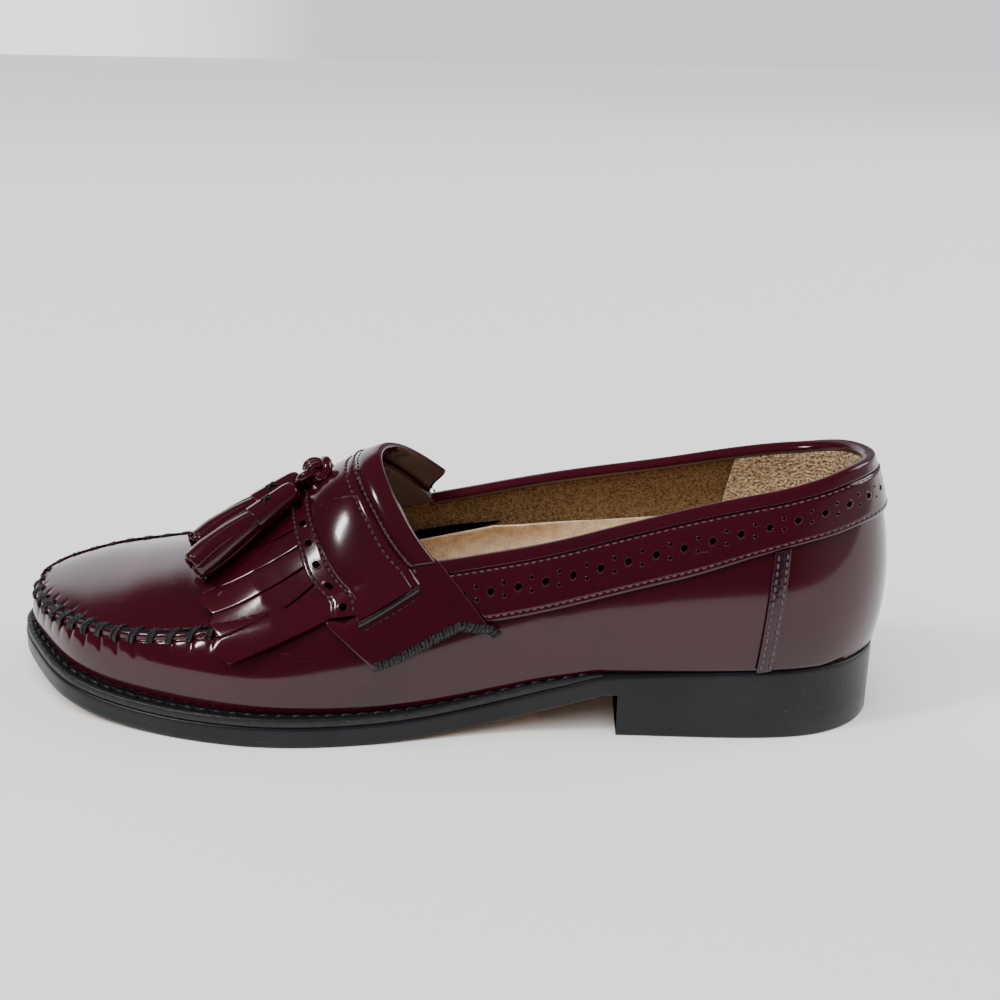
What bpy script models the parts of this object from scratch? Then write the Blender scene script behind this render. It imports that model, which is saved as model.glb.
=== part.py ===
"""Tassel loafer, left shoe, standing on its sole.

Metres, +Z up, the toe points along -X and the inner side of the foot faces +Y.
The origin is the middle of the heel's flat floor face.
Every piece of the upper is read from two surfaces worked out from the same tables:
the wall, which runs round the whole shoe, and the plug, which closes the forepart over the toes.
"""

import math

import bpy
import numpy as np

# Driving sizes
LENGTH = 0.299
WIDTH = 0.102
HEEL_LENGTH = 0.088
HEEL_HEIGHT = 0.018
TOE_SPRING = 0.0085
SOLE_THICKNESS = 0.0070
SOLE_EDGE_BEVEL = 0.0008
WELT_THICKNESS = 0.0027
WELT_EDGE = 0.0004
COLLAR_HEIGHT = 0.0644
WALL = 0.0020
INSOLE_THICKNESS = 0.0040
OVERLAY = 0.0012
STRAP_THICKNESS = 0.0016
SEAM_HEIGHT = 0.0013
SEAM_WIDTH = 0.0042
PLUG_SIDE = 0.005
BINDING_LEATHER = 0.0012
BINDING_DEPTH = 0.0035
BINDING_CROWN = 0.0020
BAND_DEPTH_BACK = 0.0172
BAND_DEPTH_WAIST = 0.0207
SIDE_STRIP_WIDTH = 0.0055
TONGUE_THICKNESS = 0.0026
TONGUE_RISE = 0.0032
TONGUE_REACH = 0.0065
FRINGE_SLIT = 0.0009
FRINGE_POINT = 0.0026
FRINGE_LIFT = 0.0017
CORD_DIAMETER = 0.0030
KNOT_WIDTH = 0.0150
TASSEL_LENGTH = 0.040
TASSEL_CAP_LENGTH = 0.017
TASSEL_CAP_DIAMETER = 0.0088
TASSEL_END_DIAMETER = 0.0125
TASSEL_STRIPS = 9
TASSEL_STRIP_LEATHER = 0.0011
TASSEL_FLATNESS = 0.8
GAP = 0.0003

# Rows across the foot, as shares of LENGTH from the heel's back, measured at the wall's top edge
WELT_END = 0.31
SIDE_STRIP_TOP = 0.134
SIDE_STRIP_FOOT = 0.143
SIDE_STRIP_START = 0.01
TONGUE_REAR = 0.487
STRAP_REAR = 0.518
PLUG_REAR = 0.534
STRAP_FRONT = 0.580
BROGUE_FRONT = 0.609
SEAM_FADE = (0.62, 0.70)
BAND_WIDENS = (0.10, 0.24)

# The outsole's outline. along: share of LENGTH from the heel's back.
# outer, inner: shares of WIDTH from the axis to the outer and the inner side of the foot.
OUTLINE = [
    # place            along   outer   inner
    ("heel back",      0.000,  0.000,  0.000),
    ("heel curve",     0.007,  0.096,  0.096),
    ("heel corner",    0.030,  0.202,  0.202),
    ("heel side",      0.070,  0.286,  0.286),
    ("counter",        0.140,  0.333,  0.333),
    ("breast",         0.234,  0.343,  0.333),
    ("waist back",     0.328,  0.347,  0.309),
    ("waist front",    0.425,  0.369,  0.299),
    ("instep",         0.512,  0.434,  0.338),
    ("joint back",     0.595,  0.490,  0.407),
    ("ball",           0.679,  0.510,  0.471),
    ("vamp",           0.762,  0.473,  0.490),
    ("toe back",       0.843,  0.397,  0.469),
    ("toe side",       0.910,  0.292,  0.421),
    ("toe corner",     0.963,  0.116,  0.338),
    ("toe curve",      0.990, -0.008,  0.248),
    ("toe tip",        1.000, -0.125,  0.125),
]

# The wall at the same places. in: share of WIDTH inside the sole's outline, up: share of COLLAR_HEIGHT.
# It passes through four lines: foot, swell, shoulder and top, which is the collar or the moccasin seam.
WALL_COLUMNS = ("foot_in", "swell_in", "swell_up", "shoulder_in", "shoulder_up", "top_in", "top_up")
OUTER_WALL = [
    # foot_in swell_in swell_up shoulder_in shoulder_up top_in top_up
    (0.002, -0.025, 0.30, -0.003, 0.64, 0.060, 0.975),
    (0.002, -0.024, 0.30, -0.003, 0.64, 0.060, 0.975),
    (0.002, -0.020, 0.30,  0.002, 0.64, 0.064, 0.973),
    (0.004, -0.014, 0.30,  0.008, 0.63, 0.070, 0.960),
    (0.006, -0.008, 0.30,  0.015, 0.62, 0.072, 0.929),
    (0.010, -0.002, 0.29,  0.020, 0.57, 0.074, 0.839),
    (0.020,  0.002, 0.27,  0.024, 0.51, 0.072, 0.747),
    (0.025,  0.006, 0.27,  0.030, 0.49, 0.078, 0.714),
    (0.029,  0.012, 0.25,  0.048, 0.48, 0.112, 0.700),
    (0.034,  0.020, 0.20,  0.054, 0.40, 0.130, 0.556),
    (0.041,  0.029, 0.15,  0.058, 0.31, 0.133, 0.432),
    (0.047,  0.037, 0.13,  0.051, 0.25, 0.103, 0.351),
    (0.049,  0.039, 0.10,  0.047, 0.21, 0.069, 0.303),
    (0.046,  0.037, 0.075, 0.044, 0.167, 0.074, 0.252),
    (0.044,  0.032, 0.046, 0.036, 0.124, 0.052, 0.193),
    (0.041,  0.029, 0.034, 0.032, 0.104, 0.049, 0.181),
    (0.041,  0.029, 0.034, 0.033, 0.111, 0.053, 0.189),
]
INNER_WALL = [
    (0.002, -0.025, 0.30, -0.003, 0.64, 0.060, 0.975),
    (0.002, -0.024, 0.30, -0.003, 0.64, 0.060, 0.973),
    (0.002, -0.020, 0.30,  0.002, 0.64, 0.064, 0.963),
    (0.004, -0.015, 0.30,  0.008, 0.63, 0.070, 0.935),
    (0.006, -0.010, 0.31,  0.013, 0.61, 0.072, 0.897),
    (0.010, -0.010, 0.31,  0.010, 0.57, 0.068, 0.832),
    (0.016, -0.020, 0.31, -0.008, 0.56, 0.045, 0.801),
    (0.020, -0.025, 0.32, -0.020, 0.57, 0.030, 0.801),
    (0.025, -0.008, 0.31,  0.000, 0.56, 0.060, 0.762),
    (0.033,  0.010, 0.26,  0.026, 0.49, 0.090, 0.660),
    (0.041,  0.029, 0.20,  0.049, 0.40, 0.115, 0.567),
    (0.047,  0.035, 0.173, 0.064, 0.351, 0.132, 0.505),
    (0.049,  0.037, 0.148, 0.064, 0.311, 0.132, 0.450),
    (0.047,  0.037, 0.113, 0.059, 0.260, 0.113, 0.383),
    (0.044,  0.033, 0.077, 0.049, 0.193, 0.088, 0.301),
    (0.041,  0.029, 0.042, 0.035, 0.134, 0.059, 0.235),
    (0.041,  0.029, 0.034, 0.033, 0.111, 0.053, 0.189),
]

# Underside of the outsole: (along, share of HEEL_HEIGHT) behind the ball, (along, share of TOE_SPRING) before it
ARCH = [(0.0, 1.0), (0.3, 0.78), (0.361, 0.52), (0.425, 0.26), (0.475, 0.12), (0.518, 0.045),
        (0.558, 0.01), (0.595, 0.0)]
TOE = [(0.770, 0.0), (0.809, 0.047), (0.850, 0.141), (0.896, 0.341), (0.943, 0.612), (1.0, 1.0)]

# Crown of the plug. along: where the row's ends stand; ahead: share of LENGTH that its middle lies ahead of them;
# up: share of COLLAR_HEIGHT that its middle lies above the foot line.
CROWN = [
    # along  ahead  up
    (0.502, 0.070, 1.116),
    (0.552, 0.058, 1.012),
    (0.595, 0.047, 0.915),
    (0.635, 0.037, 0.818),
    (0.679, 0.023, 0.722),
    (0.719, 0.015, 0.637),
    (0.762, 0.007, 0.564),
    (0.803, 0.003, 0.522),
    (0.843, 0.002, 0.478),
    (0.886, 0.000, 0.419),
    (0.923, 0.000, 0.355),
    (0.960, 0.000, 0.275),
    (0.985, 0.000, 0.212),
]
DOME = 2.2

# Overlays across the foot. across: share of the row's girth, 0 at the outer foot line and 1 at the inner one.
STRAP_END = [
    # along  across
    (0.518, 0.225),
    (0.580, 0.184),
]
BAND_FRONT = [
    # share of the way down the band, along
    (0.0, 0.475),
    (1.0, 0.435),
]
SADDLE = [
    # bottom along, bottom across, top along, top across
    (0.554, 0.092, 0.602, 0.181),
    (0.542, 0.096, 0.581, 0.173),
    (0.528, 0.102, 0.560, 0.188),
    (0.512, 0.110, 0.541, 0.202),
    (0.497, 0.119, 0.519, 0.214),
    (0.487, 0.125, 0.508, 0.240),
    (0.465, 0.137, 0.499, 0.250),
    (0.433, 0.122, 0.488, 0.258),
]
FRINGE = [
    # the fringe's outer edge, its slits and its middle. tip along: where the strips' corners end.
    # rear across, tip across, tip along
    (0.187, 0.110, 0.706),
    (0.262, 0.157, 0.720),
    (0.303, 0.215, 0.733),
    (0.350, 0.275, 0.745),
    (0.392, 0.350, 0.754),
    (0.445, 0.425, 0.759),
    (0.500, 0.500, 0.761),
]

KNOT_PLACE = (0.5645, 0.495)
KNOT_TURN = -9
TASSELS = [
    # name, degrees round the knot from straight ahead to the outer side, then along, across and lift of its end
    ("tassel_outer", 35, 0.744, 0.315, 0.0110),
    ("tassel_inner", -33, 0.752, 0.405, 0.0090),
]

# Resolution
RING_COLUMNS = 76
RING_CROWDING = 0.40
RING_ROWS = (0.0, 0.13, 0.31, 0.50, 0.68, 0.85, 1.0)
PLUG_STEPS = 10

# Where the search for a place inside the seam starts: the last row, and how fast k turns at the toe
INSET_START = (0.45, 0.06)

# Colours, as (red, green, blue, roughness)
BURGUNDY = (0.105, 0.010, 0.020, 0.22)
BLACK_EDGE = (0.012, 0.011, 0.012, 0.45)
WELT_GREY = (0.030, 0.028, 0.030, 0.75)
TAN = (0.42, 0.27, 0.14, 0.85)


def closed_spline(knots, values):
    """Cubic spline through values at knots, closed with period 1. Its second derivatives solve a cyclic system."""
    t = np.asarray(knots, float)
    v = np.asarray(values, float)
    n = len(t)
    h = np.diff(np.append(t, t[0] + 1.0))
    system = np.zeros((n, n))
    right = np.zeros(n)
    for i in range(n):
        before, after = h[i - 1], h[i]
        system[i, i - 1] += before
        system[i, i] += 2 * (before + after)
        system[i, (i + 1) % n] += after
        right[i] = 6 * ((v[(i + 1) % n] - v[i]) / after - (v[i] - v[i - 1]) / before)
    bend = np.linalg.solve(system, right)

    def at(where):
        q = np.mod(np.asarray(where, float) - t[0], 1.0) + t[0]
        i = np.clip(np.searchsorted(t, q, side="right") - 1, 0, n - 1)
        j = (i + 1) % n
        a = (q - t[i]) / h[i]
        b = 1 - a
        bow = ((b ** 3 - b) * bend[i] + (a ** 3 - a) * bend[j]) * h[i] ** 2 / 6
        return b * v[i] + a * v[j] + bow

    return at


def smooth_line(points):
    """Monotone cubic through (x, y) rows, so that level stretches stay level."""
    x, y = np.array(points, float).T
    h = np.diff(x)
    slope = np.diff(y) / h
    m = np.zeros(len(x))
    m[0], m[-1] = slope[0], slope[-1]
    both = slope[:-1] * slope[1:] > 0
    before = np.where(both, slope[:-1], 1.0)
    after = np.where(both, slope[1:], 1.0)
    w1 = 2 * h[1:] + h[:-1]
    w2 = h[1:] + 2 * h[:-1]
    m[1:-1] = np.where(both, (w1 + w2) / (w1 / before + w2 / after), 0.0)

    def at(where):
        q = np.clip(np.asarray(where, float), x[0], x[-1])
        i = np.clip(np.searchsorted(x, q, side="right") - 1, 0, len(x) - 2)
        u = (q - x[i]) / h[i]
        start = (1 + 2 * u) * (1 - u) ** 2 * y[i] + u * (1 - u) ** 2 * h[i] * m[i]
        end = u * u * (3 - 2 * u) * y[i + 1] + u * u * (u - 1) * h[i] * m[i + 1]
        return start + end

    return at


def fade(value, low, high):
    """Smooth step from 0 at low to 1 at high."""
    u = np.clip((np.asarray(value, float) - low) / (high - low), 0, 1)
    return u * u * (3 - 2 * u)


def unit(vectors):
    return vectors / np.linalg.norm(vectors, axis=-1, keepdims=True)


# The ring parameter t runs once round the shoe: 0 at the heel's back, 0.5 at the toe, the outer side first
OUTER_LINE = np.array([(along * LENGTH, -outer * WIDTH) for _, along, outer, inner in OUTLINE])
INNER_LINE = np.array([(along * LENGTH, inner * WIDTH) for _, along, outer, inner in OUTLINE])
STEPS = np.hypot(*np.diff(OUTER_LINE, axis=0).T)
AROUND = 2 * STEPS.sum()
HALF = np.concatenate([[0.0], np.cumsum(STEPS)]) / AROUND
KNOTS = np.concatenate([HALF, 1 - HALF[-2:0:-1]])
ROUND = np.concatenate([OUTER_LINE, INNER_LINE[-2:0:-1]])
outline_s = closed_spline(KNOTS, ROUND[:, 0])
outline_y = closed_spline(KNOTS, ROUND[:, 1])
WALL_ROUND = np.array(OUTER_WALL + INNER_WALL[-2:0:-1])
wall_table = {name: closed_spline(KNOTS, WALL_ROUND[:, i]) for i, name in enumerate(WALL_COLUMNS)}
arch_line = smooth_line(ARCH)
toe_line = smooth_line(TOE)
crown_ahead = smooth_line([(along, ahead) for along, ahead, up in CROWN])
crown_up = smooth_line([(along, up) for along, ahead, up in CROWN])
row_at = smooth_line([(row[1], knot) for row, knot in zip(OUTLINE, HALF)])


def sole_bottom(s):
    """Height of the outsole's underside, s ahead of the heel's back."""
    along = np.asarray(s, float) / LENGTH
    return HEEL_HEIGHT * arch_line(along) + TOE_SPRING * toe_line(along)


def sole_top(s):
    return sole_bottom(s) + SOLE_THICKNESS


def welt_top(s):
    """The welt thins out behind the waist, where the upper comes down to the sole."""
    return sole_top(s) + GAP + WELT_THICKNESS * fade(np.asarray(s) / LENGTH, WELT_END - 0.04, WELT_END + 0.09)


def foot_line(s):
    """Lower edge of the upper's wall."""
    return welt_top(s) + GAP


def outline(t, inset=0.0):
    """Plan of the outsole at t as (s, y), moved in by inset."""
    t = np.asarray(t, float)
    step = 1e-4
    ds = outline_s(t + step) - outline_s(t - step)
    dy = outline_y(t + step) - outline_y(t - step)
    size = np.hypot(ds, dy)
    return outline_s(t) - inset * dy / size, outline_y(t) + inset * ds / size


def place(s, y, z):
    """Point from s, the distance ahead of the heel's back."""
    return np.stack(np.broadcast_arrays(HEEL_LENGTH / 2 - s, y, z), -1)


def contour(name, t):
    """One of the wall's four lines: foot, swell, shoulder or top."""
    s, y = outline(t, wall_table[name + "_in"](t) * WIDTH)
    up = 0.0 if name == "foot" else wall_table[name + "_up"](t) * COLLAR_HEIGHT
    return place(s, y, foot_line(s) + up)


def wall(t, w):
    """Outer face of the wall: the cubic through its four lines, w from 0 at the foot to 1 at the top."""
    t, w = np.broadcast_arrays(np.asarray(t, float), np.asarray(w, float))
    third, rest = w - 1 / 3, w - 2 / 3
    weights = {
        "foot": -4.5 * third * rest * (w - 1),
        "swell": 13.5 * w * rest * (w - 1),
        "shoulder": -13.5 * w * third * (w - 1),
        "top": 4.5 * w * third * rest,
    }
    return sum(weight[..., None] * contour(name, t) for name, weight in weights.items())


def plug(t, k):
    """Outer face of the plug: arches from the wall's top at t to its top at 1 - t, k from -1 to 1."""
    t, k = np.broadcast_arrays(np.asarray(t, float), np.asarray(k, float))
    outer = contour("top", t)
    inner = contour("top", 1 - t)
    share = (k[..., None] + 1) / 2
    points = outer * (1 - share) + inner * share
    s = HEEL_LENGTH / 2 - (outer[..., 0] + inner[..., 0]) / 2
    along = s / LENGTH
    points[..., 0] -= crown_ahead(along) * LENGTH * (1 - k * k)
    rise = foot_line(s) + crown_up(along) * COLLAR_HEIGHT - (outer[..., 2] + inner[..., 2]) / 2
    points[..., 2] += rise * (1 - np.abs(k) ** DOME)
    return points


def girth(t, across, samples=41):
    """Point on the whole row through t and 1 - t, by share of its length from the outer foot line."""
    t, across = np.broadcast_arrays(np.asarray(t, float), np.asarray(across, float))
    up = np.linspace(0, 1, samples)
    over = np.linspace(-1, 1, 2 * samples)
    rows, which = np.unique(t.ravel(), return_inverse=True)
    points = np.zeros((t.size, 3))
    for i, row in enumerate(rows):
        line = np.concatenate([wall(row, up)[:-1], plug(row, over)[:-1], wall(1 - row, up[::-1])])
        run = np.concatenate([[0.0], np.cumsum(np.linalg.norm(np.diff(line, axis=0), axis=1))])
        here = which.ravel() == i
        wanted = across.ravel()[here] * run[-1]
        points[here] = np.stack([np.interp(wanted, run, line[:, axis]) for axis in range(3)], -1)
    return points.reshape(*t.shape, 3)


def lifted(surface, a, b, lift, step_a=0.002, step_b=0.02):
    """Points of a surface moved out along its normal, which is the slope in b times the slope in a."""
    a, b = np.broadcast_arrays(np.asarray(a, float), np.asarray(b, float))
    slope_a = surface(a + step_a, b) - surface(a - step_a, b)
    slope_b = surface(a, b + step_b) - surface(a, b - step_b)
    normal = unit(np.cross(slope_b, slope_a))
    return surface(a, b) + normal * np.asarray(lift, float)[..., None]


def wall_below(t, distance):
    """w of the wall's point that lies a distance below its top edge, measured on the leather."""
    t, distance = np.broadcast_arrays(np.asarray(t, float), np.asarray(distance, float))
    w = np.linspace(1, 0, 81)
    found = []
    for row, reach in zip(t.ravel(), distance.ravel()):
        run = np.concatenate([[0.0], np.cumsum(np.linalg.norm(np.diff(wall(row, w), axis=0), axis=1))])
        found.append(np.interp(reach, run, w))
    return np.array(found).reshape(t.shape)


def ring_parameters():
    """Values of t round the shoe, crowded at heel and toe, with a pair of rows exactly at the plug's rear edge."""
    u = np.arange(RING_COLUMNS) / RING_COLUMNS
    t = u - RING_CROWDING * np.sin(4 * math.pi * u) / (4 * math.pi)
    rear = row_at(PLUG_REAR)
    column = int(np.abs(t - rear).argmin())
    t[column] = rear
    t[RING_COLUMNS - column] = 1 - rear
    return t, column


RING_T, PLUG_COLUMN = ring_parameters()


def clear_scene():
    for item in list(bpy.data.objects):
        bpy.data.objects.remove(item, do_unlink=True)


def make_material(name, colour):
    material = bpy.data.materials.new(name)
    material.use_nodes = True
    shader = material.node_tree.nodes["Principled BSDF"]
    shader.inputs["Base Color"].default_value = (*colour[:3], 1.0)
    shader.inputs["Roughness"].default_value = colour[3]
    shader.inputs["Metallic"].default_value = 0.0
    return material


def add_mesh(name, points, faces, colour):
    """Mesh object in the shoe's collection, with a material of its own and smooth shading up to 40 degrees."""
    mesh = bpy.data.meshes.new(name)
    mesh.from_pydata([tuple(point) for point in np.asarray(points)], [], [tuple(face) for face in faces])
    mesh.validate()
    mesh.shade_smooth()
    mesh.set_sharp_from_angle(angle=math.radians(40))
    mesh.materials.append(make_material(name, colour))
    item = bpy.data.objects.new(name, mesh)
    bpy.data.collections["tassel_loafer"].objects.link(item)
    return item


def solidify(item, thickness, side):
    """Give an open surface its wall: side 1 grows outwards, -1 inwards."""
    shell = item.modifiers.new("leather", "SOLIDIFY")
    shell.thickness = thickness
    shell.offset = side
    shell.use_even_offset = True
    shell.use_rim = True


def grid_faces(columns, rows, first=0, closed=False):
    """Quads of a grid stored column by column, facing the side where rows times columns points."""
    faces = []
    for i in range(columns if closed else columns - 1):
        a = first + i * rows
        b = first + (i + 1) % columns * rows
        for j in range(rows - 1):
            faces.append((a + j, a + j + 1, b + j + 1, b + j))
    return faces


def ladder(left, right):
    """Faces across a loop, between two lists of its points that run side by side and may share their ends."""
    faces = []
    for a, b, c, d in zip(left, left[1:], right[1:], right):
        face = tuple(dict.fromkeys((a, b, c, d)))
        if len(face) > 2:
            faces.append(face)
    return faces


def stack_loops(loops, left, right):
    """Closed body from loops of equal length, lowest first, capped by ladders. Loops run outer side first."""
    count = len(loops[0])
    faces = []
    for level in range(len(loops) - 1):
        for i in range(count):
            j = (i + 1) % count
            faces.append((level * count + i, (level + 1) * count + i, (level + 1) * count + j, level * count + j))
    top = (len(loops) - 1) * count
    faces += [tuple(face) for face in ladder(left, right)]
    faces += [tuple(top + i for i in reversed(face)) for face in ladder(left, right)]
    return np.concatenate(loops), faces


def sheet(name, grid, thickness, colour):
    """Leather sheet on the inner surface given as a grid of columns and rows, grown outwards by its thickness."""
    columns, rows = grid.shape[:2]
    item = add_mesh(name, grid.reshape(-1, 3), grid_faces(columns, rows), colour)
    solidify(item, thickness, 1)
    return item


def sweep_sections(name, sections, colour):
    """Closed body through a row of closed sections of equal length, capped at both ends."""
    count, size = sections.shape[:2]
    faces = []
    for i in range(count - 1):
        for j in range(size):
            k = (j + 1) % size
            faces.append((i * size + j, i * size + k, (i + 1) * size + k, (i + 1) * size + j))
    last = (count - 1) * size
    faces.append(tuple(reversed(range(size))))
    faces.append(tuple(last + j for j in range(size)))
    return add_mesh(name, sections.reshape(-1, 3), faces, colour)


def full_ring():
    """The two sides of the ring of columns, as index lists from the heel's back to the toe."""
    half = RING_COLUMNS // 2
    outer = list(range(half + 1))
    inner = [0] + [RING_COLUMNS - i for i in range(1, half)] + [half]
    return outer, inner


def make_outsole():
    loops = []
    for inset, from_bottom in (
        (SOLE_EDGE_BEVEL, 0.0),
        (0.0, SOLE_EDGE_BEVEL),
        (0.0, SOLE_THICKNESS - SOLE_EDGE_BEVEL),
        (SOLE_EDGE_BEVEL, SOLE_THICKNESS),
    ):
        s, y = outline(RING_T, inset)
        loops.append(place(s, y, sole_bottom(s) + from_bottom))
    outer, inner = full_ring()
    points, faces = stack_loops(loops, outer, inner)
    return add_mesh("outsole", points, faces, BLACK_EDGE)


def make_heel():
    breast = row_at(HEEL_LENGTH / LENGTH)
    side = RING_T[(RING_T > 0) & (RING_T < breast - 0.004)]
    t = np.concatenate([[breast], side[::-1], [0.0], 1 - side, [1 - breast]])
    loops = []
    for inset, level in ((SOLE_EDGE_BEVEL, 0.0), (0.0, SOLE_EDGE_BEVEL), (0.0, None)):
        s, y = outline(t, inset)
        s[[0, -1]] = HEEL_LENGTH
        z = sole_bottom(s) - GAP if level is None else level
        loops.append(place(s, y, z))
    middle = len(t) // 2
    outer = list(range(middle, len(t)))
    inner = list(range(middle, -1, -1))
    points, faces = stack_loops([loop[::-1] for loop in loops], outer, inner)
    return add_mesh("heel", points, faces, BLACK_EDGE)


def make_welt():
    """Flat strip on the outsole's rim from waist to waist round the toe, under the wall's foot."""
    start = row_at(WELT_END)
    side = RING_T[(RING_T > start + 0.004) & (RING_T < 1 - start - 0.004)]
    t = np.concatenate([[start], side, [1 - start]])
    under_wall = wall_table["foot_in"](t) * WIDTH + WALL * 0.8
    sections = []
    for inset, top in ((under_wall, False), (WELT_EDGE, False), (WELT_EDGE, True), (under_wall, True)):
        s, y = outline(t, inset)
        z = welt_top(s) if top else sole_top(s) + GAP
        sections.append(place(s, y, z))
    return sweep_sections("welt", np.stack(sections, 1), WELT_GREY)


def make_insole():
    inset = wall_table["foot_in"](RING_T) * WIDTH + WALL + 2 * GAP
    s, y = outline(RING_T, inset)
    loops = [place(s, y, sole_top(s) + GAP + level) for level in (0.0, INSOLE_THICKNESS)]
    outer, inner = full_ring()
    points, faces = stack_loops(loops, outer, inner)
    return add_mesh("insole", points, faces, TAN)


def seam_lift(t, distance):
    """Height of the raised seam at a distance from its middle. It dies out under the strap."""
    s = HEEL_LENGTH / 2 - contour("top", t)[..., 0]
    return SEAM_HEIGHT * fade(s / LENGTH, *SEAM_FADE) * np.clip(1 - (distance / SEAM_WIDTH) ** 2, 0, 1)


def ring_points():
    """Columns of the wall's points from foot to top, with the outer half of the raised seam."""
    below = wall_below(RING_T, SEAM_WIDTH)
    w = np.stack([share * below for share in RING_ROWS] + [wall_below(RING_T, SEAM_WIDTH / 2), np.ones(RING_COLUMNS)], 1)
    lift = np.zeros_like(w)
    lift[:, -2] = seam_lift(RING_T, SEAM_WIDTH / 2)
    points = lifted(wall, RING_T[:, None], w, lift)
    upward = unit(wall(RING_T, 1.0) - wall(RING_T, 0.9))
    points[:, -1] += upward * seam_lift(RING_T, 0.0)[:, None]
    return points


def seam_inset(t, distance):
    """Places (t, k) of the plug at a distance inside the seam's top line, found by Newton's method."""
    s, y = outline(t, wall_table["top_in"](t) * WIDTH + distance)
    wanted = place(s, y, 0.0)[..., :2]
    row = np.minimum(np.minimum(t, 1 - t), INSET_START[0])
    k = np.clip((t - 0.5) / INSET_START[1], -1, 1)
    step = 1e-4
    for _ in range(20):
        miss = wanted - plug(row, k)[..., :2]
        slope_t = (plug(row + step, k) - plug(row - step, k))[..., :2] / (2 * step)
        slope_k = (plug(row, k + step) - plug(row, k - step))[..., :2] / (2 * step)
        size = slope_t[..., 0] * slope_k[..., 1] - slope_t[..., 1] * slope_k[..., 0]
        row = row + (miss[..., 0] * slope_k[..., 1] - miss[..., 1] * slope_k[..., 0]) / size
        k = k + (slope_t[..., 0] * miss[..., 1] - slope_t[..., 1] * miss[..., 0]) / size
    return row, k


def make_upper():
    """Wall and plug in one open surface with the raised seam between them, given its thickness inwards.

    Two borders follow the seam round the plug, and straight rows fill the plug between them."""
    ring = ring_points()
    ring_rows = ring.shape[1]
    points = [ring.reshape(-1, 3)]
    faces = grid_faces(RING_COLUMNS, ring_rows, closed=True)
    count = RING_COLUMNS * ring_rows
    columns = np.arange(PLUG_COLUMN, RING_COLUMNS - PLUG_COLUMN + 1)
    border = list(columns * ring_rows + ring_rows - 1)
    rear = RING_T[PLUG_COLUMN]
    rear_width = np.linalg.norm(contour("top", rear) - contour("top", 1 - rear))
    for distance in (SEAM_WIDTH / 2, PLUG_SIDE):
        t, k = seam_inset(RING_T[columns], distance)
        t[[0, -1]] = rear
        k[[0, -1]] = (1 - 2 * distance / rear_width) * np.array([-1, 1])
        points.append(lifted(plug, t, k, seam_lift(t, distance)))
        inside = list(range(count, count + len(columns)))
        faces += ladder(inside, border)
        border = inside
        count += len(columns)
    last = (RING_COLUMNS - PLUG_STEPS) // 2 - PLUG_COLUMN
    share = np.linspace(0, 1, PLUG_STEPS - 3)[1:-1]
    previous = []
    for i in range(last + 1):
        row_t = t[i] + (t[-1 - i] - t[i]) * share
        row_k = k[i] + (k[-1 - i] - k[i]) * share
        points.append(plug(row_t, row_k))
        row = [border[i]] + list(range(count, count + len(share))) + [border[-1 - i]]
        faces += ladder(previous, row)
        previous = row
        count += len(share)
    spread = [previous[min(max(i - 2, 0), PLUG_STEPS - 4)] for i in range(PLUG_STEPS + 1)]
    faces += ladder(spread, border[last:len(border) - last])
    item = add_mesh("upper", np.concatenate(points), faces, BURGUNDY)
    solidify(item, WALL, -1)
    return item


def collar_parameters(front):
    """Values of t round the collar from the inner side's front over the heel to the outer side's front.

    The ring's own columns are kept behind the waist, and the last ones stretch to the front."""
    side = RING_T[(RING_T > 0) & (RING_T < row_at(TONGUE_REAR) - 0.01)]
    keep = row_at(SIDE_STRIP_FOOT) + 0.05
    front = np.asarray(front, float)[..., None]
    share = np.clip((side - keep) / (side[-1] - keep), 0, None)
    outer = np.where(side > keep, keep + share * (front - keep), side)
    zero = np.zeros(front.shape)
    return np.concatenate([-outer[..., ::-1], zero, outer], -1)


def band_depth(t):
    """Distance from the collar's edge to the band's lower edge: it widens from the heel to the waist."""
    s, y = outline(t)
    return BAND_DEPTH_BACK + (BAND_DEPTH_WAIST - BAND_DEPTH_BACK) * fade(s / LENGTH, *BAND_WIDENS)


def make_collar_band():
    """Perforated band below the binding; its front ends are cut to the slant of the saddles."""
    share = np.linspace(1, 0, 4)
    front = row_at(np.interp(share, *np.array(BAND_FRONT).T))
    t = collar_parameters(front).T
    start = BINDING_DEPTH + GAP
    w = wall_below(t, start + (band_depth(t) - start) * share)
    grid = lifted(wall, t, w, np.full(t.shape, GAP))
    return sheet("collar_band", grid, OVERLAY, BURGUNDY)


def make_collar_binding():
    """Strip folded over the collar's edge: an upside-down U with a rounded back, swept along the edge."""
    t = collar_parameters(row_at(BAND_FRONT[0][1]))
    edge = wall(t, 1.0)
    outward = unit(lifted(wall, t, np.ones_like(t), np.ones_like(t)) - edge)
    upward = unit(wall(t, 1.02) - wall(t, 0.98))
    outer_face = GAP + BINDING_LEATHER
    inner_face = -WALL - GAP - BINDING_LEATHER
    middle = (outer_face + inner_face) / 2
    reach = (outer_face - inner_face) / 2
    profile = [(GAP, -BINDING_DEPTH), (outer_face, -BINDING_DEPTH)]
    for degrees in (0, 45, 90, 135, 180):
        angle = math.radians(degrees)
        profile.append((middle + reach * math.cos(angle), BINDING_CROWN * math.sin(angle)))
    profile += [(inner_face, -BINDING_DEPTH), (-WALL - GAP, -BINDING_DEPTH), (-WALL - GAP, GAP), (GAP, GAP)]
    sections = [edge + outward * out + upward * up for out, up in profile]
    return sweep_sections("collar_binding", np.stack(sections, 1), BURGUNDY)


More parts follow.
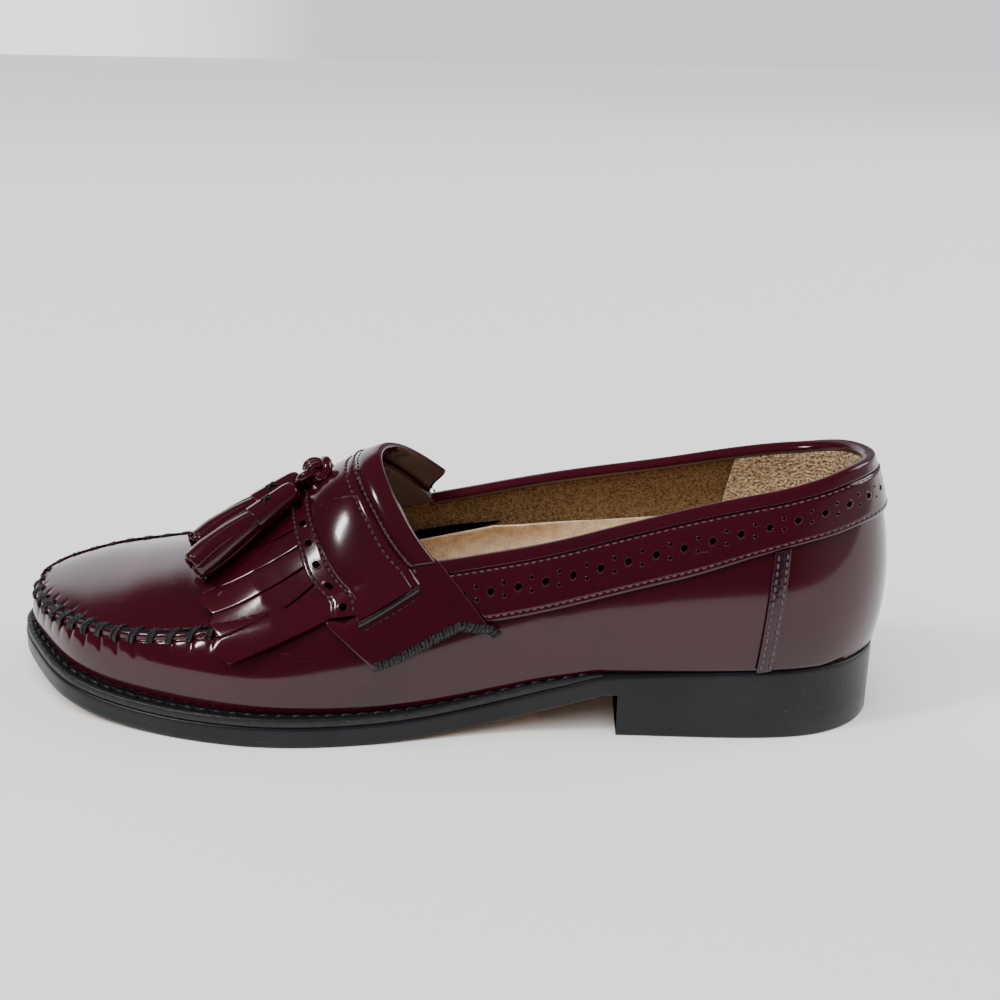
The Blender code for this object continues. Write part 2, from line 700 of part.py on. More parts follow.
def make_side_strip(name, inner):
    """Narrow strip over the seam between vamp and quarter, from the sole to the collar band."""
    share = np.linspace(0, 1, 7)
    half = SIDE_STRIP_WIDTH / 2 / AROUND
    centre = row_at(SIDE_STRIP_FOOT) * (1 - share) + row_at(SIDE_STRIP_TOP) * share
    t = centre + np.array([[-half], [half]])
    if inner:
        t = 1 - t[::-1]
    foot = wall_below(t, 0.0) * SIDE_STRIP_START
    top = wall_below(t, band_depth(t) + GAP)
    grid = lifted(wall, t, foot + (top - foot) * share, np.full(t.shape, GAP))
    return sheet(name, grid, OVERLAY, BURGUNDY)


def mirrored_row(t, across, inner):
    """The same place on the inner side: the grid is turned round so that it still faces outwards."""
    if not inner:
        return t, across
    return t[:, ::-1], 1 - across[:, ::-1]


def make_saddle(name, inner):
    """Side panel that the strap tucks into; its upper edge steps round the strap's end and the tongue's."""
    table = np.array(SADDLE)
    v = np.linspace(0, 1, 9)
    along = table[:, 0:1] * (1 - v) + table[:, 2:3] * v
    across = table[:, 1:2] * (1 - v) + table[:, 3:4] * v
    t, across = mirrored_row(row_at(along)[::-1], across[::-1], inner)
    grid = lifted(girth, t, across, np.full(t.shape, GAP))
    return sheet(name, grid, OVERLAY, BURGUNDY)


def make_strap():
    """Band across the instep, from the slot in one saddle to the slot in the other."""
    along = np.linspace(STRAP_REAR, STRAP_FRONT, 4)
    end = np.interp(along, *np.array(STRAP_END).T)
    share = np.linspace(0, 1, 25)
    across = end[:, None] + (1 - 2 * end[:, None]) * share
    t = np.broadcast_to(row_at(along)[:, None], across.shape)
    grid = lifted(girth, t, across, np.full(t.shape, GAP))
    return sheet("strap", grid, STRAP_THICKNESS, BURGUNDY)


def make_tongue():
    """Folded end of the tongue behind the strap; a flange reaches under the strap to the plug's rear edge."""
    rear = row_at(TONGUE_REAR)
    strap = row_at(STRAP_REAR)
    plug_edge = row_at(PLUG_REAR)
    share = np.linspace(0, 1, 25)
    profile = [
        # t, lift, how far it is towards the free rear edge
        (plug_edge - 2 * GAP / AROUND, -TONGUE_THICKNESS + TONGUE_RISE / 2, 0.0),
        (plug_edge - 2 * GAP / AROUND, 0.0, 0.0),
        (strap - 2 * GAP / AROUND, 0.0, 0.1),
        (strap - 3 * GAP / AROUND, TONGUE_RISE, 0.1),
        (rear + 0.0025, TONGUE_RISE, 0.8),
        (rear, TONGUE_RISE - TONGUE_THICKNESS / 2, 1.0),
        (rear + 0.0025, TONGUE_RISE - TONGUE_THICKNESS, 0.8),
        (strap - 3 * GAP / AROUND, -TONGUE_THICKNESS + TONGUE_RISE / 2, 0.1),
    ]
    sections = []
    for t, lift, free in profile:
        k = -0.975 + share * (0.975 + 0.975 - 0.20 * free)
        row = t - TONGUE_REACH / AROUND * free * share ** 2
        sections.append(lifted(plug, row, k, np.full(k.shape, lift)))
    return sweep_sections("tongue", np.stack(sections, 1), BURGUNDY)


def fringe_lines():
    """Edges, slits and middles of the fringe's strips, one row each: rear across, tip across, tip along."""
    half = np.array(FRINGE)
    mirrored = half[-2::-1] * (-1, -1, 1) + (1, 1, 0)
    slits = np.concatenate([half, mirrored])
    middle = girth(row_at(BROGUE_FRONT), np.linspace(0, 1, 60))
    slit = FRINGE_SLIT / 2 / np.linalg.norm(np.diff(middle, axis=0), axis=1).sum()
    low, high = slits[:-1], slits[1:]
    centre = (low + high) / 2 + (0, 0, FRINGE_POINT / LENGTH)
    low = low + np.where(np.arange(len(low)) > 0, slit, 0)[:, None] * (1, 1, 0)
    high = high - np.where(np.arange(len(high)) < len(high) - 1, slit, 0)[:, None] * (1, 1, 0)
    return np.stack([low, centre, high], 1).reshape(-1, 3)


def make_kiltie():
    """Perforated band in front of the strap, cut into strips that fan out over the toe and end in points."""
    rear_across, tip_across, tip_along = fringe_lines().T
    brogue_t = row_at(BROGUE_FRONT)
    tip_t = row_at(tip_along)
    ahead = np.array([0.0, 0.0, 0.25, 0.5, 0.75, 1.0])[:, None]
    t = brogue_t + (tip_t - brogue_t) * ahead
    t[0] = row_at(STRAP_FRONT) + 2 * GAP / AROUND
    across = rear_across + (tip_across - rear_across) * ahead
    lift = GAP + FRINGE_LIFT * np.array([0.0, 0.25, 0.6, 1.0, 1.0, 1.0])[:, None] + np.zeros_like(t)
    grid = lifted(girth, t, across, lift)
    rows, count = t.shape
    faces = []
    for i in range(rows - 1):
        for j in range(count - 1):
            in_slit = j % 3 == 2 and i > 0
            if not in_slit:
                a, b = i * count + j, (i + 1) * count + j
                faces.append((a, a + 1, b + 1, b))
    item = add_mesh("kiltie", grid.reshape(-1, 3), faces, BURGUNDY)
    solidify(item, OVERLAY, 1)
    return item


def make_knot(centre, normal, forward):
    """Thick cord tied in an overhand knot: a trefoil lying flat on the strap's front edge."""
    scale = (KNOT_WIDTH - CORD_DIAMETER) / 2 / 3
    height = (CORD_DIAMETER + 2 * GAP) / 2
    sideways = np.cross(normal, forward)
    curve = bpy.data.curves.new("tassel_knot", "CURVE")
    curve.dimensions = "3D"
    curve.bevel_depth = CORD_DIAMETER / 2
    curve.bevel_resolution = 2
    curve.use_fill_caps = True
    spline = curve.splines.new("POLY")
    count = 40
    spline.points.add(count - 1)
    for i in range(count):
        a = 2 * math.pi * i / count
        turn = math.radians(KNOT_TURN)
        across = scale * (math.sin(a) + 2 * math.sin(2 * a))
        along = scale * (math.cos(a) - 2 * math.cos(2 * a))
        x = across * math.cos(turn) - along * math.sin(turn)
        y = across * math.sin(turn) + along * math.cos(turn)
        z = -height * math.sin(3 * a)
        point = centre + forward * x + sideways * y + normal * z
        spline.points[i].co = (*point, 1.0)
    spline.use_cyclic_u = True
    curve.materials.append(make_material("tassel_knot", BURGUNDY))
    item = bpy.data.objects.new("tassel_knot", curve)
    bpy.data.collections["tassel_loafer"].objects.link(item)
    return item


def make_tassel(name, start, end, up):
    """Wrapped cap and a skirt of strips in one solid, a turned profile whose skirt is notched between strips."""
    axis = unit(end - start)
    side = unit(np.cross(axis, up))
    over = np.cross(side, axis)
    cap = TASSEL_CAP_DIAMETER / 2
    skirt = TASSEL_END_DIAMETER / 2
    notch = TASSEL_STRIP_LEATHER
    rows = [
        # share of the length, radius, depth of the notches
        (0.00, cap * 0.55, 0.0),
        (0.02, cap * 0.85, 0.0),
        (TASSEL_CAP_LENGTH / TASSEL_LENGTH, cap, 0.0),
        (TASSEL_CAP_LENGTH / TASSEL_LENGTH + 0.01, cap * 1.08, notch),
        (0.70, (cap + skirt) / 2 * 1.05, notch),
        (1.00, skirt, notch),
    ]
    angles = []
    width = 2 * math.pi / TASSEL_STRIPS
    for strip in range(TASSEL_STRIPS):
        angles += [(strip + offset) * width for offset in (-0.42, 0.42, 0.5)]
    angles = -np.array(angles)
    in_notch = np.arange(len(angles)) % 3 == 2
    rows += [
        (1.00, skirt - 2.0 * notch, 0.0),
        (0.90, skirt - 2.2 * notch, 0.0),
    ]
    sections = []
    for share, radius, depth in rows:
        r = (radius - depth * in_notch)[:, None]
        across = side * np.cos(angles)[:, None] + over * TASSEL_FLATNESS * np.sin(angles)[:, None]
        sections.append(start + axis * share * TASSEL_LENGTH + across * r)
    return sweep_sections(name, np.stack(sections), BURGUNDY)


def make_tassels():
    """Knot on the crown over the strap's front edge, and the two tassels that hang from its front over the plug."""
    t = row_at(KNOT_PLACE[0])
    foot = girth(t, KNOT_PLACE[1])
    above = unit(lifted(girth, t, KNOT_PLACE[1], 1.0) - foot)
    ahead = unit(girth(t + 0.01, KNOT_PLACE[1]) - girth(t - 0.01, KNOT_PLACE[1]))
    outward = np.cross(above, ahead)
    centre = foot + above * (GAP + STRAP_THICKNESS + GAP + CORD_DIAMETER + GAP)
    make_knot(centre, above, ahead)
    for name, degrees, end_along, end_across, end_lift in TASSELS:
        angle = math.radians(degrees)
        reach = KNOT_WIDTH / 2 + 2 * GAP
        start = centre + (ahead * math.cos(angle) + outward * math.sin(angle)) * reach
        end = lifted(girth, row_at(end_along), end_across, end_lift)
        make_tassel(name, start, end, above)


def build():
    clear_scene()
    shoe = bpy.data.collections.new("tassel_loafer")
    bpy.context.scene.collection.children.link(shoe)
    make_outsole()
    make_heel()
    make_welt()
    make_insole()
    make_upper()
    make_collar_band()
    make_collar_binding()
    make_side_strip("side_strip_outer", inner=False)
    make_side_strip("side_strip_inner", inner=True)
    make_saddle("saddle_outer", inner=False)
    make_saddle("saddle_inner", inner=True)
    make_strap()
    make_tongue()
    make_kiltie()
    make_tassels()


build()
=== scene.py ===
# %% [markdown]
# # A burgundy tassel loafer
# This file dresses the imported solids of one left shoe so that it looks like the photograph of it.
# The solids come first as a fixed frame: they say where everything is and how big it is.
# Then each visible piece is worked out again as a fine surface, with its stitches, holes and creases.

# %% Load the frame
import math

import bmesh
import bpy
import numpy as np
from mathutils import Matrix, Vector


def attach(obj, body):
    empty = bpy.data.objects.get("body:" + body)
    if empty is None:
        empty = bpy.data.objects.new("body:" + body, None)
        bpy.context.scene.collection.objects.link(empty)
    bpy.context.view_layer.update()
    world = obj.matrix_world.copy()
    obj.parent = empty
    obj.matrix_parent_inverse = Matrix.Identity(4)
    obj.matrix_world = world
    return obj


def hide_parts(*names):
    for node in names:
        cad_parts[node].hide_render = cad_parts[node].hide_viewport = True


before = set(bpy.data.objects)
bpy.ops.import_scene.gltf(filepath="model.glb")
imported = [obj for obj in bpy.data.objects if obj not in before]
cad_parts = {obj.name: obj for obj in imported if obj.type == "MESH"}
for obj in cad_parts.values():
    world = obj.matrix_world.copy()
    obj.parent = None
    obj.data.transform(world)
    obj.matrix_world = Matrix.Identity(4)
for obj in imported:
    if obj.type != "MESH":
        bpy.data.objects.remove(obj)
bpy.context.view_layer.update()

print("nodes:", sorted(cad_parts))

# %% [markdown]
# ## The shape of the last
# A shoe is lasted: leather is pulled over a wooden foot, so every piece of the upper lies on one smooth form.
# Here that form is two surfaces. The wall runs round the whole shoe, through four lines at stations of the
# sole's outline. The plug closes the forepart over the toes, as a moccasin's apron does.
# Both are worked out from short tables, whose lengths are shares of a few sizes, so any piece of leather can be
# laid on them afterwards and will fit.

# %% Sizes of the shoe, in metres
LENGTH, WIDTH = 0.299, 0.102
HEEL_LENGTH, HEEL_HEIGHT = 0.088, 0.018
TOE_SPRING, SOLE_THICKNESS = 0.0085, 0.0070
WELT_THICKNESS, WELT_END = 0.0027, 0.31
COLLAR_HEIGHT, WALL, GAP = 0.0644, 0.0020, 0.0003
BAND_DEPTH_BACK, BAND_DEPTH_WAIST = 0.0172, 0.0207
STRAP_REAR, STRAP_FRONT, BROGUE_FRONT, PLUG_REAR, TONGUE_REAR = 0.518, 0.580, 0.609, 0.534, 0.487

# %% Stations of the outline and of the wall
# along: share of LENGTH from the heel's back; outer, inner: shares of WIDTH from the axis to each side
OUTLINE = np.array([
    (0.000, 0.000, 0.000), (0.007, 0.096, 0.096), (0.030, 0.202, 0.202), (0.070, 0.286, 0.286),
    (0.140, 0.333, 0.333), (0.234, 0.343, 0.333), (0.328, 0.347, 0.309), (0.425, 0.369, 0.299),
    (0.512, 0.434, 0.338), (0.595, 0.490, 0.407), (0.679, 0.510, 0.471), (0.762, 0.473, 0.490),
    (0.843, 0.397, 0.469), (0.910, 0.292, 0.421), (0.963, 0.116, 0.338), (0.990, -0.008, 0.248),
    (1.000, -0.125, 0.125),
])
# foot in, swell in and up, shoulder in and up, top in and up: shares of WIDTH inwards and of COLLAR_HEIGHT upwards
OUTER_WALL = [
    (0.002, -0.025, 0.30, -0.003, 0.64, 0.060, 0.975), (0.002, -0.024, 0.30, -0.003, 0.64, 0.060, 0.975),
    (0.002, -0.020, 0.30, 0.002, 0.64, 0.064, 0.973), (0.004, -0.014, 0.30, 0.008, 0.63, 0.070, 0.960),
    (0.006, -0.008, 0.30, 0.015, 0.62, 0.072, 0.929), (0.010, -0.002, 0.29, 0.020, 0.57, 0.074, 0.839),
    (0.020, 0.002, 0.27, 0.024, 0.51, 0.072, 0.747), (0.025, 0.006, 0.27, 0.030, 0.49, 0.078, 0.714),
    (0.029, 0.012, 0.25, 0.048, 0.48, 0.112, 0.700), (0.034, 0.020, 0.20, 0.054, 0.40, 0.130, 0.556),
    (0.041, 0.029, 0.15, 0.058, 0.31, 0.133, 0.432), (0.047, 0.037, 0.13, 0.051, 0.25, 0.103, 0.351),
    (0.049, 0.039, 0.10, 0.047, 0.21, 0.069, 0.303), (0.046, 0.037, 0.075, 0.044, 0.167, 0.074, 0.252),
    (0.044, 0.032, 0.046, 0.036, 0.124, 0.052, 0.193), (0.041, 0.029, 0.034, 0.032, 0.104, 0.049, 0.181),
    (0.041, 0.029, 0.034, 0.033, 0.111, 0.053, 0.189),
]
INNER_WALL = [
    (0.002, -0.025, 0.30, -0.003, 0.64, 0.060, 0.975), (0.002, -0.024, 0.30, -0.003, 0.64, 0.060, 0.973),
    (0.002, -0.020, 0.30, 0.002, 0.64, 0.064, 0.963), (0.004, -0.015, 0.30, 0.008, 0.63, 0.070, 0.935),
    (0.006, -0.010, 0.31, 0.013, 0.61, 0.072, 0.897), (0.010, -0.010, 0.31, 0.010, 0.57, 0.068, 0.832),
    (0.016, -0.020, 0.31, -0.008, 0.56, 0.045, 0.801), (0.020, -0.025, 0.32, -0.020, 0.57, 0.030, 0.801),
    (0.025, -0.008, 0.31, 0.000, 0.56, 0.060, 0.762), (0.033, 0.010, 0.26, 0.026, 0.49, 0.090, 0.660),
    (0.041, 0.029, 0.20, 0.049, 0.40, 0.115, 0.567), (0.047, 0.035, 0.173, 0.064, 0.351, 0.132, 0.505),
    (0.049, 0.037, 0.148, 0.064, 0.311, 0.132, 0.450), (0.047, 0.037, 0.113, 0.059, 0.260, 0.113, 0.383),
    (0.044, 0.033, 0.077, 0.049, 0.193, 0.088, 0.301), (0.041, 0.029, 0.042, 0.035, 0.134, 0.059, 0.235),
    (0.041, 0.029, 0.034, 0.033, 0.111, 0.053, 0.189),
]
# height of the sole's underside behind the ball and ahead of it, and the crown of the plug
ARCH = [(0.0, 1.0), (0.3, 0.78), (0.361, 0.52), (0.425, 0.26), (0.475, 0.12), (0.518, 0.045), (0.558, 0.01),
        (0.595, 0.0)]
TOE = [(0.770, 0.0), (0.809, 0.047), (0.850, 0.141), (0.896, 0.341), (0.943, 0.612), (1.0, 1.0)]
CROWN = np.array([
    (0.502, 0.070, 1.116), (0.552, 0.058, 1.012), (0.595, 0.047, 0.915), (0.635, 0.037, 0.818), (0.679, 0.023, 0.722),
    (0.719, 0.015, 0.637), (0.762, 0.007, 0.564), (0.803, 0.003, 0.522), (0.843, 0.002, 0.478), (0.886, 0.0, 0.419),
    (0.923, 0.0, 0.355), (0.960, 0.0, 0.275), (0.985, 0.0, 0.212),
])
print("stations:", len(OUTLINE), "of the outline,", len(CROWN), "of the crown")


# %% Splines through the stations
def closed_spline(knots, values):
    """Cubic spline with period 1: its second derivatives solve a cyclic three-banded system."""
    t, v = np.asarray(knots, float), np.asarray(values, float)
    n = len(t)
    h = np.diff(np.append(t, t[0] + 1.0))
    before, after = np.roll(h, 1), h
    slope = (np.roll(v, -1) - v) / h
    system = np.diag(2 * (before + after))
    system = system + np.roll(np.diag(before), -1, axis=1) + np.roll(np.diag(after), 1, axis=1)
    bend = np.linalg.solve(system, 6 * (slope - np.roll(slope, 1)))

    def at(where):
        q = np.mod(np.asarray(where, float) - t[0], 1.0) + t[0]
        i = np.clip(np.searchsorted(t, q, side="right") - 1, 0, n - 1)
        j = (i + 1) % n
        a = (q - t[i]) / h[i]
        b = 1 - a
        return b * v[i] + a * v[j] + ((b ** 3 - b) * bend[i] + (a ** 3 - a) * bend[j]) * h[i] ** 2 / 6

    return at


def smooth_line(x, y):
    """Monotone cubic: the slope at a point is the harmonic mean of its neighbours', so level parts stay level."""
    x, y = np.asarray(x, float), np.asarray(y, float)
    h = np.diff(x)
    slope = np.diff(y) / h
    m = np.concatenate([[slope[0]], np.zeros(len(x) - 2), [slope[-1]]])
    rising = slope[:-1] * slope[1:] > 0
    w1, w2 = 2 * h[1:] + h[:-1], h[1:] + 2 * h[:-1]
    before, after = np.where(rising, slope[:-1], 1.0), np.where(rising, slope[1:], 1.0)
    m[1:-1] = np.where(rising, (w1 + w2) / (w1 / before + w2 / after), 0.0)

    def at(where):
        q = np.clip(np.asarray(where, float), x[0], x[-1])
        i = np.clip(np.searchsorted(x, q, side="right") - 1, 0, len(x) - 2)
        u = (q - x[i]) / h[i]
        start = (1 + 2 * u) * (1 - u) ** 2 * y[i] + u * (1 - u) ** 2 * h[i] * m[i]
        return start + u * u * (3 - 2 * u) * y[i + 1] + u * u * (u - 1) * h[i] * m[i + 1]

    return at


def fade(value, low, high):
    """Smooth step: 0 at low, 1 at high, level at both ends."""
    u = np.clip((np.asarray(value, float) - low) / (high - low), 0, 1)
    return u * u * (3 - 2 * u)


def unit(vectors):
    """Vectors divided by their own length."""
    return vectors / np.maximum(np.linalg.norm(vectors, axis=-1, keepdims=True), 1e-12)


# %% The ring parameter t, the sole's outline and its heights
# t runs once round the shoe: 0 at the heel's back, 0.5 at the toe, the outer side first
outer_line = np.stack([OUTLINE[:, 0] * LENGTH, -OUTLINE[:, 1] * WIDTH], 1)
inner_line = np.stack([OUTLINE[:, 0] * LENGTH, OUTLINE[:, 2] * WIDTH], 1)
steps = np.hypot(*np.diff(outer_line, axis=0).T)
AROUND = 2 * steps.sum()
half_knots = np.concatenate([[0.0], np.cumsum(steps)]) / AROUND
knots = np.concatenate([half_knots, 1 - half_knots[-2:0:-1]])
ring_line = np.concatenate([outer_line, inner_line[-2:0:-1]])
outline_s, outline_y = closed_spline(knots, ring_line[:, 0]), closed_spline(knots, ring_line[:, 1])
wall_rows = np.array(OUTER_WALL + INNER_WALL[-2:0:-1])
wall_names = ("foot_in", "swell_in", "swell_up", "shoulder_in", "shoulder_up", "top_in", "top_up")
wall_table = {name: closed_spline(knots, wall_rows[:, i]) for i, name in enumerate(wall_names)}
arch_line, toe_line = smooth_line(*np.array(ARCH).T), smooth_line(*np.array(TOE).T)
crown_ahead, crown_up = smooth_line(CROWN[:, 0], CROWN[:, 1]), smooth_line(CROWN[:, 0], CROWN[:, 2])
row_at = smooth_line(OUTLINE[:, 0], half_knots)


def sole_bottom(s):
    """Underside of the outsole, s ahead of the heel's back: arch behind the ball, spring under the toe."""
    along = np.asarray(s, float) / LENGTH
    return HEEL_HEIGHT * arch_line(along) + TOE_SPRING * toe_line(along)


def sole_top(s):
    """Upper face of the outsole."""
    return sole_bottom(s) + SOLE_THICKNESS


def welt_top(s):
    """Upper face of the welt, which thins out behind the waist."""
    return sole_top(s) + GAP + WELT_THICKNESS * fade(np.asarray(s) / LENGTH, WELT_END - 0.04, WELT_END + 0.09)


def outline(t, inset=0.0):
    """Plan of the sole at t as (s, y), moved in along its own normal."""
    t = np.asarray(t, float)
    ds = outline_s(t + 1e-4) - outline_s(t - 1e-4)
    dy = outline_y(t + 1e-4) - outline_y(t - 1e-4)
    size = np.hypot(ds, dy)
    return outline_s(t) - inset * dy / size, outline_y(t) + inset * ds / size


def place(s, y, z):
    """Point of the frame from s, the distance ahead of the heel's back."""
    return np.stack(np.broadcast_arrays(HEEL_LENGTH / 2 - s, y, z), -1)


print("way round the sole: %.3f m" % AROUND)


# %% The wall and the plug
def raw_contour(name, t):
    """One of the wall's four lines from the tables: foot, swell, shoulder or top."""
    s, y = outline(t, wall_table[name + "_in"](t) * WIDTH)
    up = 0.0 if name == "foot" else wall_table[name + "_up"](t) * COLLAR_HEIGHT
    return place(s, y, welt_top(s) + GAP + up)


# the collar is a pulled edge, so its height is averaged along 4 cm where the tables ripple by half a millimetre
ring_knots = np.linspace(0, 1, 2001)
collar_height = raw_contour("top", ring_knots)[:, 2]
bell = np.exp(-np.linspace(-3, 3, 241) ** 2 / 2)
once_more = np.concatenate([collar_height[-121:-1], collar_height, collar_height[1:121]])
averaged = np.convolve(once_more, bell / bell.sum(), "valid")
from_back = np.minimum(ring_knots, 1 - ring_knots)
pulled = fade(from_back, 0.05, 0.09) * fade(from_back, 0.250, 0.215)
collar_height = collar_height * (1 - pulled) + averaged * pulled
# under the ankle bone the outer side is cut a little lower than the inner one, and the heel's back a little higher
dip = fade(ring_knots, 0.035, 0.085) * (1 - 0.6 * fade(ring_knots, 0.17, 0.24)) * fade(ring_knots, 0.31, 0.25)
ANKLE_DIP, HEEL_RISE = 0.0022, 0.0008
collar_height = collar_height - ANKLE_DIP * dip + HEEL_RISE * fade(from_back, 0.06, 0.02)


def contour(name, t):
    """One of the wall's four lines, the top one with its height pulled smooth."""
    points = raw_contour(name, t)
    if name == "top":
        points[..., 2] = np.interp(np.mod(t, 1.0), ring_knots, collar_height)
    return points


def wall(t, w):
    """Outer face of the wall: the cubic through its four lines, w from 0 at the foot to 1 at the top."""
    t, w = np.broadcast_arrays(np.asarray(t, float), np.asarray(w, float))
    third, rest = w - 1 / 3, w - 2 / 3
    weights = {"foot": -4.5 * third * rest * (w - 1), "swell": 13.5 * w * rest * (w - 1),
               "shoulder": -13.5 * w * third * (w - 1), "top": 4.5 * w * third * rest}
    return sum(weight[..., None] * contour(name, t) for name, weight in weights.items())


def plug(t, k):
    """Outer face of the plug: an arch of power 2.2 from the wall's top at t to its top at 1 - t, k from -1 to 1."""
    t, k = np.broadcast_arrays(np.asarray(t, float), np.asarray(k, float))
    outer, inner = contour("top", t), contour("top", 1 - t)
    share = (k[..., None] + 1) / 2
    points = outer * (1 - share) + inner * share
    s = HEEL_LENGTH / 2 - (outer[..., 0] + inner[..., 0]) / 2
    points[..., 0] -= crown_ahead(s / LENGTH) * LENGTH * (1 - k * k)
    rise = welt_top(s) + GAP + crown_up(s / LENGTH) * COLLAR_HEIGHT - (outer[..., 2] + inner[..., 2]) / 2
    points[..., 2] += rise * (1 - np.abs(k) ** 2.2)
    return points


def plug_normal(row, k):
    """Outward normal of the plug: the cross product of its slopes across the shoe and along it."""
    across, along = plug(row, k + 1e-2) - plug(row, k - 1e-2), plug(row + 1e-3, k) - plug(row - 1e-3, k)
    return unit(np.cross(across, along))


# %% [markdown]
# ## Two charts to lay leather on
# A strap, a band or a row of stitches is easiest to draw on the form by two numbers: how far along, and how far
# across or below an edge. So the form is sampled once into two charts, with its normals.
# One chart has (t, across), where across runs from the outer foot over the crown to the inner foot.
# The other has (t, below), where below is the distance under the wall's top edge, in metres.
# A piece is then only a grid of numbers looked up in a chart and lifted along the normals.

# %% Charts of the form
def run_length(points):
    """Distance travelled along each row of points."""
    step = np.linalg.norm(np.diff(points, axis=1), axis=2)
    return np.concatenate([np.zeros((len(points), 1)), np.cumsum(step, 1)], 1)


def resample(points, run, wanted):
    """Each row of points read again, on straight lines, at the wanted distances along it. All rows are searched at
    once: each is moved to a stretch of its own on one long line of numbers."""
    rows, count = run.shape
    own_stretch = np.arange(rows)[:, None] * (run.max() + 1.0)
    found = np.searchsorted((run + own_stretch).ravel(), wanted + own_stretch, side="right") - 1
    i = np.clip(found - np.arange(rows)[:, None] * count, 0, count - 2)
    low, high = np.take_along_axis(run, i, 1), np.take_along_axis(run, i + 1, 1)
    share = np.clip((wanted - low) / (high - low), 0, 1)[..., None]
    before, after = np.take_along_axis(points, i[..., None], 1), np.take_along_axis(points, i[..., None] + 1, 1)
    return before * (1 - share) + after * share


def chart_normals(points, outside):
    """Normals of a chart from the cross product of its two slopes, turned to the given side."""
    normal = unit(np.cross(np.gradient(points, axis=1), np.gradient(points, axis=0)))
    return normal * outside


chart_t = np.linspace(0.15, 0.4985, 700)
up, over = np.linspace(0, 1, 90), np.linspace(-1, 1, 180)
whole = np.concatenate([
    wall(chart_t[:, None], up[None, :-1]), plug(chart_t[:, None], over[None, :-1]),
    wall(1 - chart_t[:, None], up[None, ::-1]),
], 1)
whole_run = run_length(whole)
GIRTH = whole_run[:, -1]
chart_q = np.linspace(0, 1, 401)
skin_points = resample(whole, whole_run, chart_q[None] * GIRTH[:, None])
skin_normals = chart_normals(skin_points, 1)

side_t = np.linspace(-0.5, 1.5, 2801)
side_reach = np.linspace(0, 0.062, 249)
column = wall(side_t[:, None], np.linspace(1, 0, 160)[None])
column_run = run_length(column)
WALL_LENGTH = column_run[:, -1]
side_points = resample(column, column_run, np.minimum(side_reach[None], WALL_LENGTH[:, None]))
side_normals = chart_normals(side_points, -1)
print("charts:", skin_points.shape, side_points.shape)


def look_up(table, u, v, u_range, v_range):
    """Bilinear reading of a chart at (u, v)."""
    rows, columns = table.shape[:2]
    a = np.clip((u - u_range[0]) / (u_range[-1] - u_range[0]) * (rows - 1), 0, rows - 1.001)
    b = np.clip((v - v_range[0]) / (v_range[-1] - v_range[0]) * (columns - 1), 0, columns - 1.001)
    i, j = a.astype(int), b.astype(int)
    a, b = (a - i)[..., None], (b - j)[..., None]
    low = table[i, j] * (1 - b) + table[i, j + 1] * b
    return low * (1 - a) + (table[i + 1, j] * (1 - b) + table[i + 1, j + 1] * b) * a


def lifted(points, normals, u_range, v_range, u, v, lift):
    """Point read from a chart and lifted along the chart's normal there."""
    u, v, lift = np.broadcast_arrays(*(np.asarray(value, float) for value in (u, v, lift)))
    normal = unit(look_up(normals, u, v, u_range, v_range))
    return look_up(points, u, v, u_range, v_range) + normal * lift[..., None]


def on_skin(t, across, lift=0.0):
    """Point above the whole row through t, by share of its girth, lifted along the normal."""
    return lifted(skin_points, skin_normals, chart_t, chart_q, t, across, lift)


def on_side(t, below, lift=0.0):
    """Point on the wall at t, a distance below its top edge, lifted along the normal."""
    return lifted(side_points, side_normals, side_t, side_reach, t, below, lift)


def height_of_wall(t):
    """Length of the wall's line from foot to top at t."""
    return np.interp(t, side_t, WALL_LENGTH)


def edge_rise(t):
    """Direction in which the wall climbs where it reaches its top edge."""
    return unit(on_side(t, 0.0) - on_side(t, 0.002))


# %% [markdown]
# ## Camera, floor and light
# The photograph was taken from a little above the table, almost square to the shoe's outer side.
# The camera's place, tilt and lens were fitted to the heel's floor edge, the sole's edge and the collar.
# A pale floor throws light up into the leather, which is what makes the soft band low on the wall.

# %% Camera
yaw, pitch, roll = math.radians(-2.04), math.radians(18.05), math.radians(0.99)
forward = np.array([0.0, math.cos(pitch), -math.sin(pitch)])
upward = np.array([0.0, math.sin(pitch), math.cos(pitch)])
rightward = np.array([1.0, 0.0, 0.0])
rolled_right = math.cos(roll) * rightward + math.sin(roll) * upward
rolled_up = -math.sin(roll) * rightward + math.cos(roll) * upward
turn = np.array([[math.cos(yaw), math.sin(yaw), 0], [-math.sin(yaw), math.cos(yaw), 0], [0, 0, 1]])
camera_axes = np.stack([turn @ rolled_right, turn @ rolled_up, -(turn @ forward), [-0.0690, -0.4363, 0.2110]], 1)
camera_data = bpy.data.cameras.new("camera")
camera_data.sensor_width, camera_data.lens = 36.0, 48.85
camera_data.clip_start = 0.01
camera = bpy.data.objects.new("camera", camera_data)
bpy.context.scene.collection.objects.link(camera)
camera.matrix_world = Matrix([tuple(row) for row in camera_axes] + [(0, 0, 0, 1)])
bpy.context.scene.camera = camera
print("camera at", np.round(camera_axes[:, 3], 3).tolist())


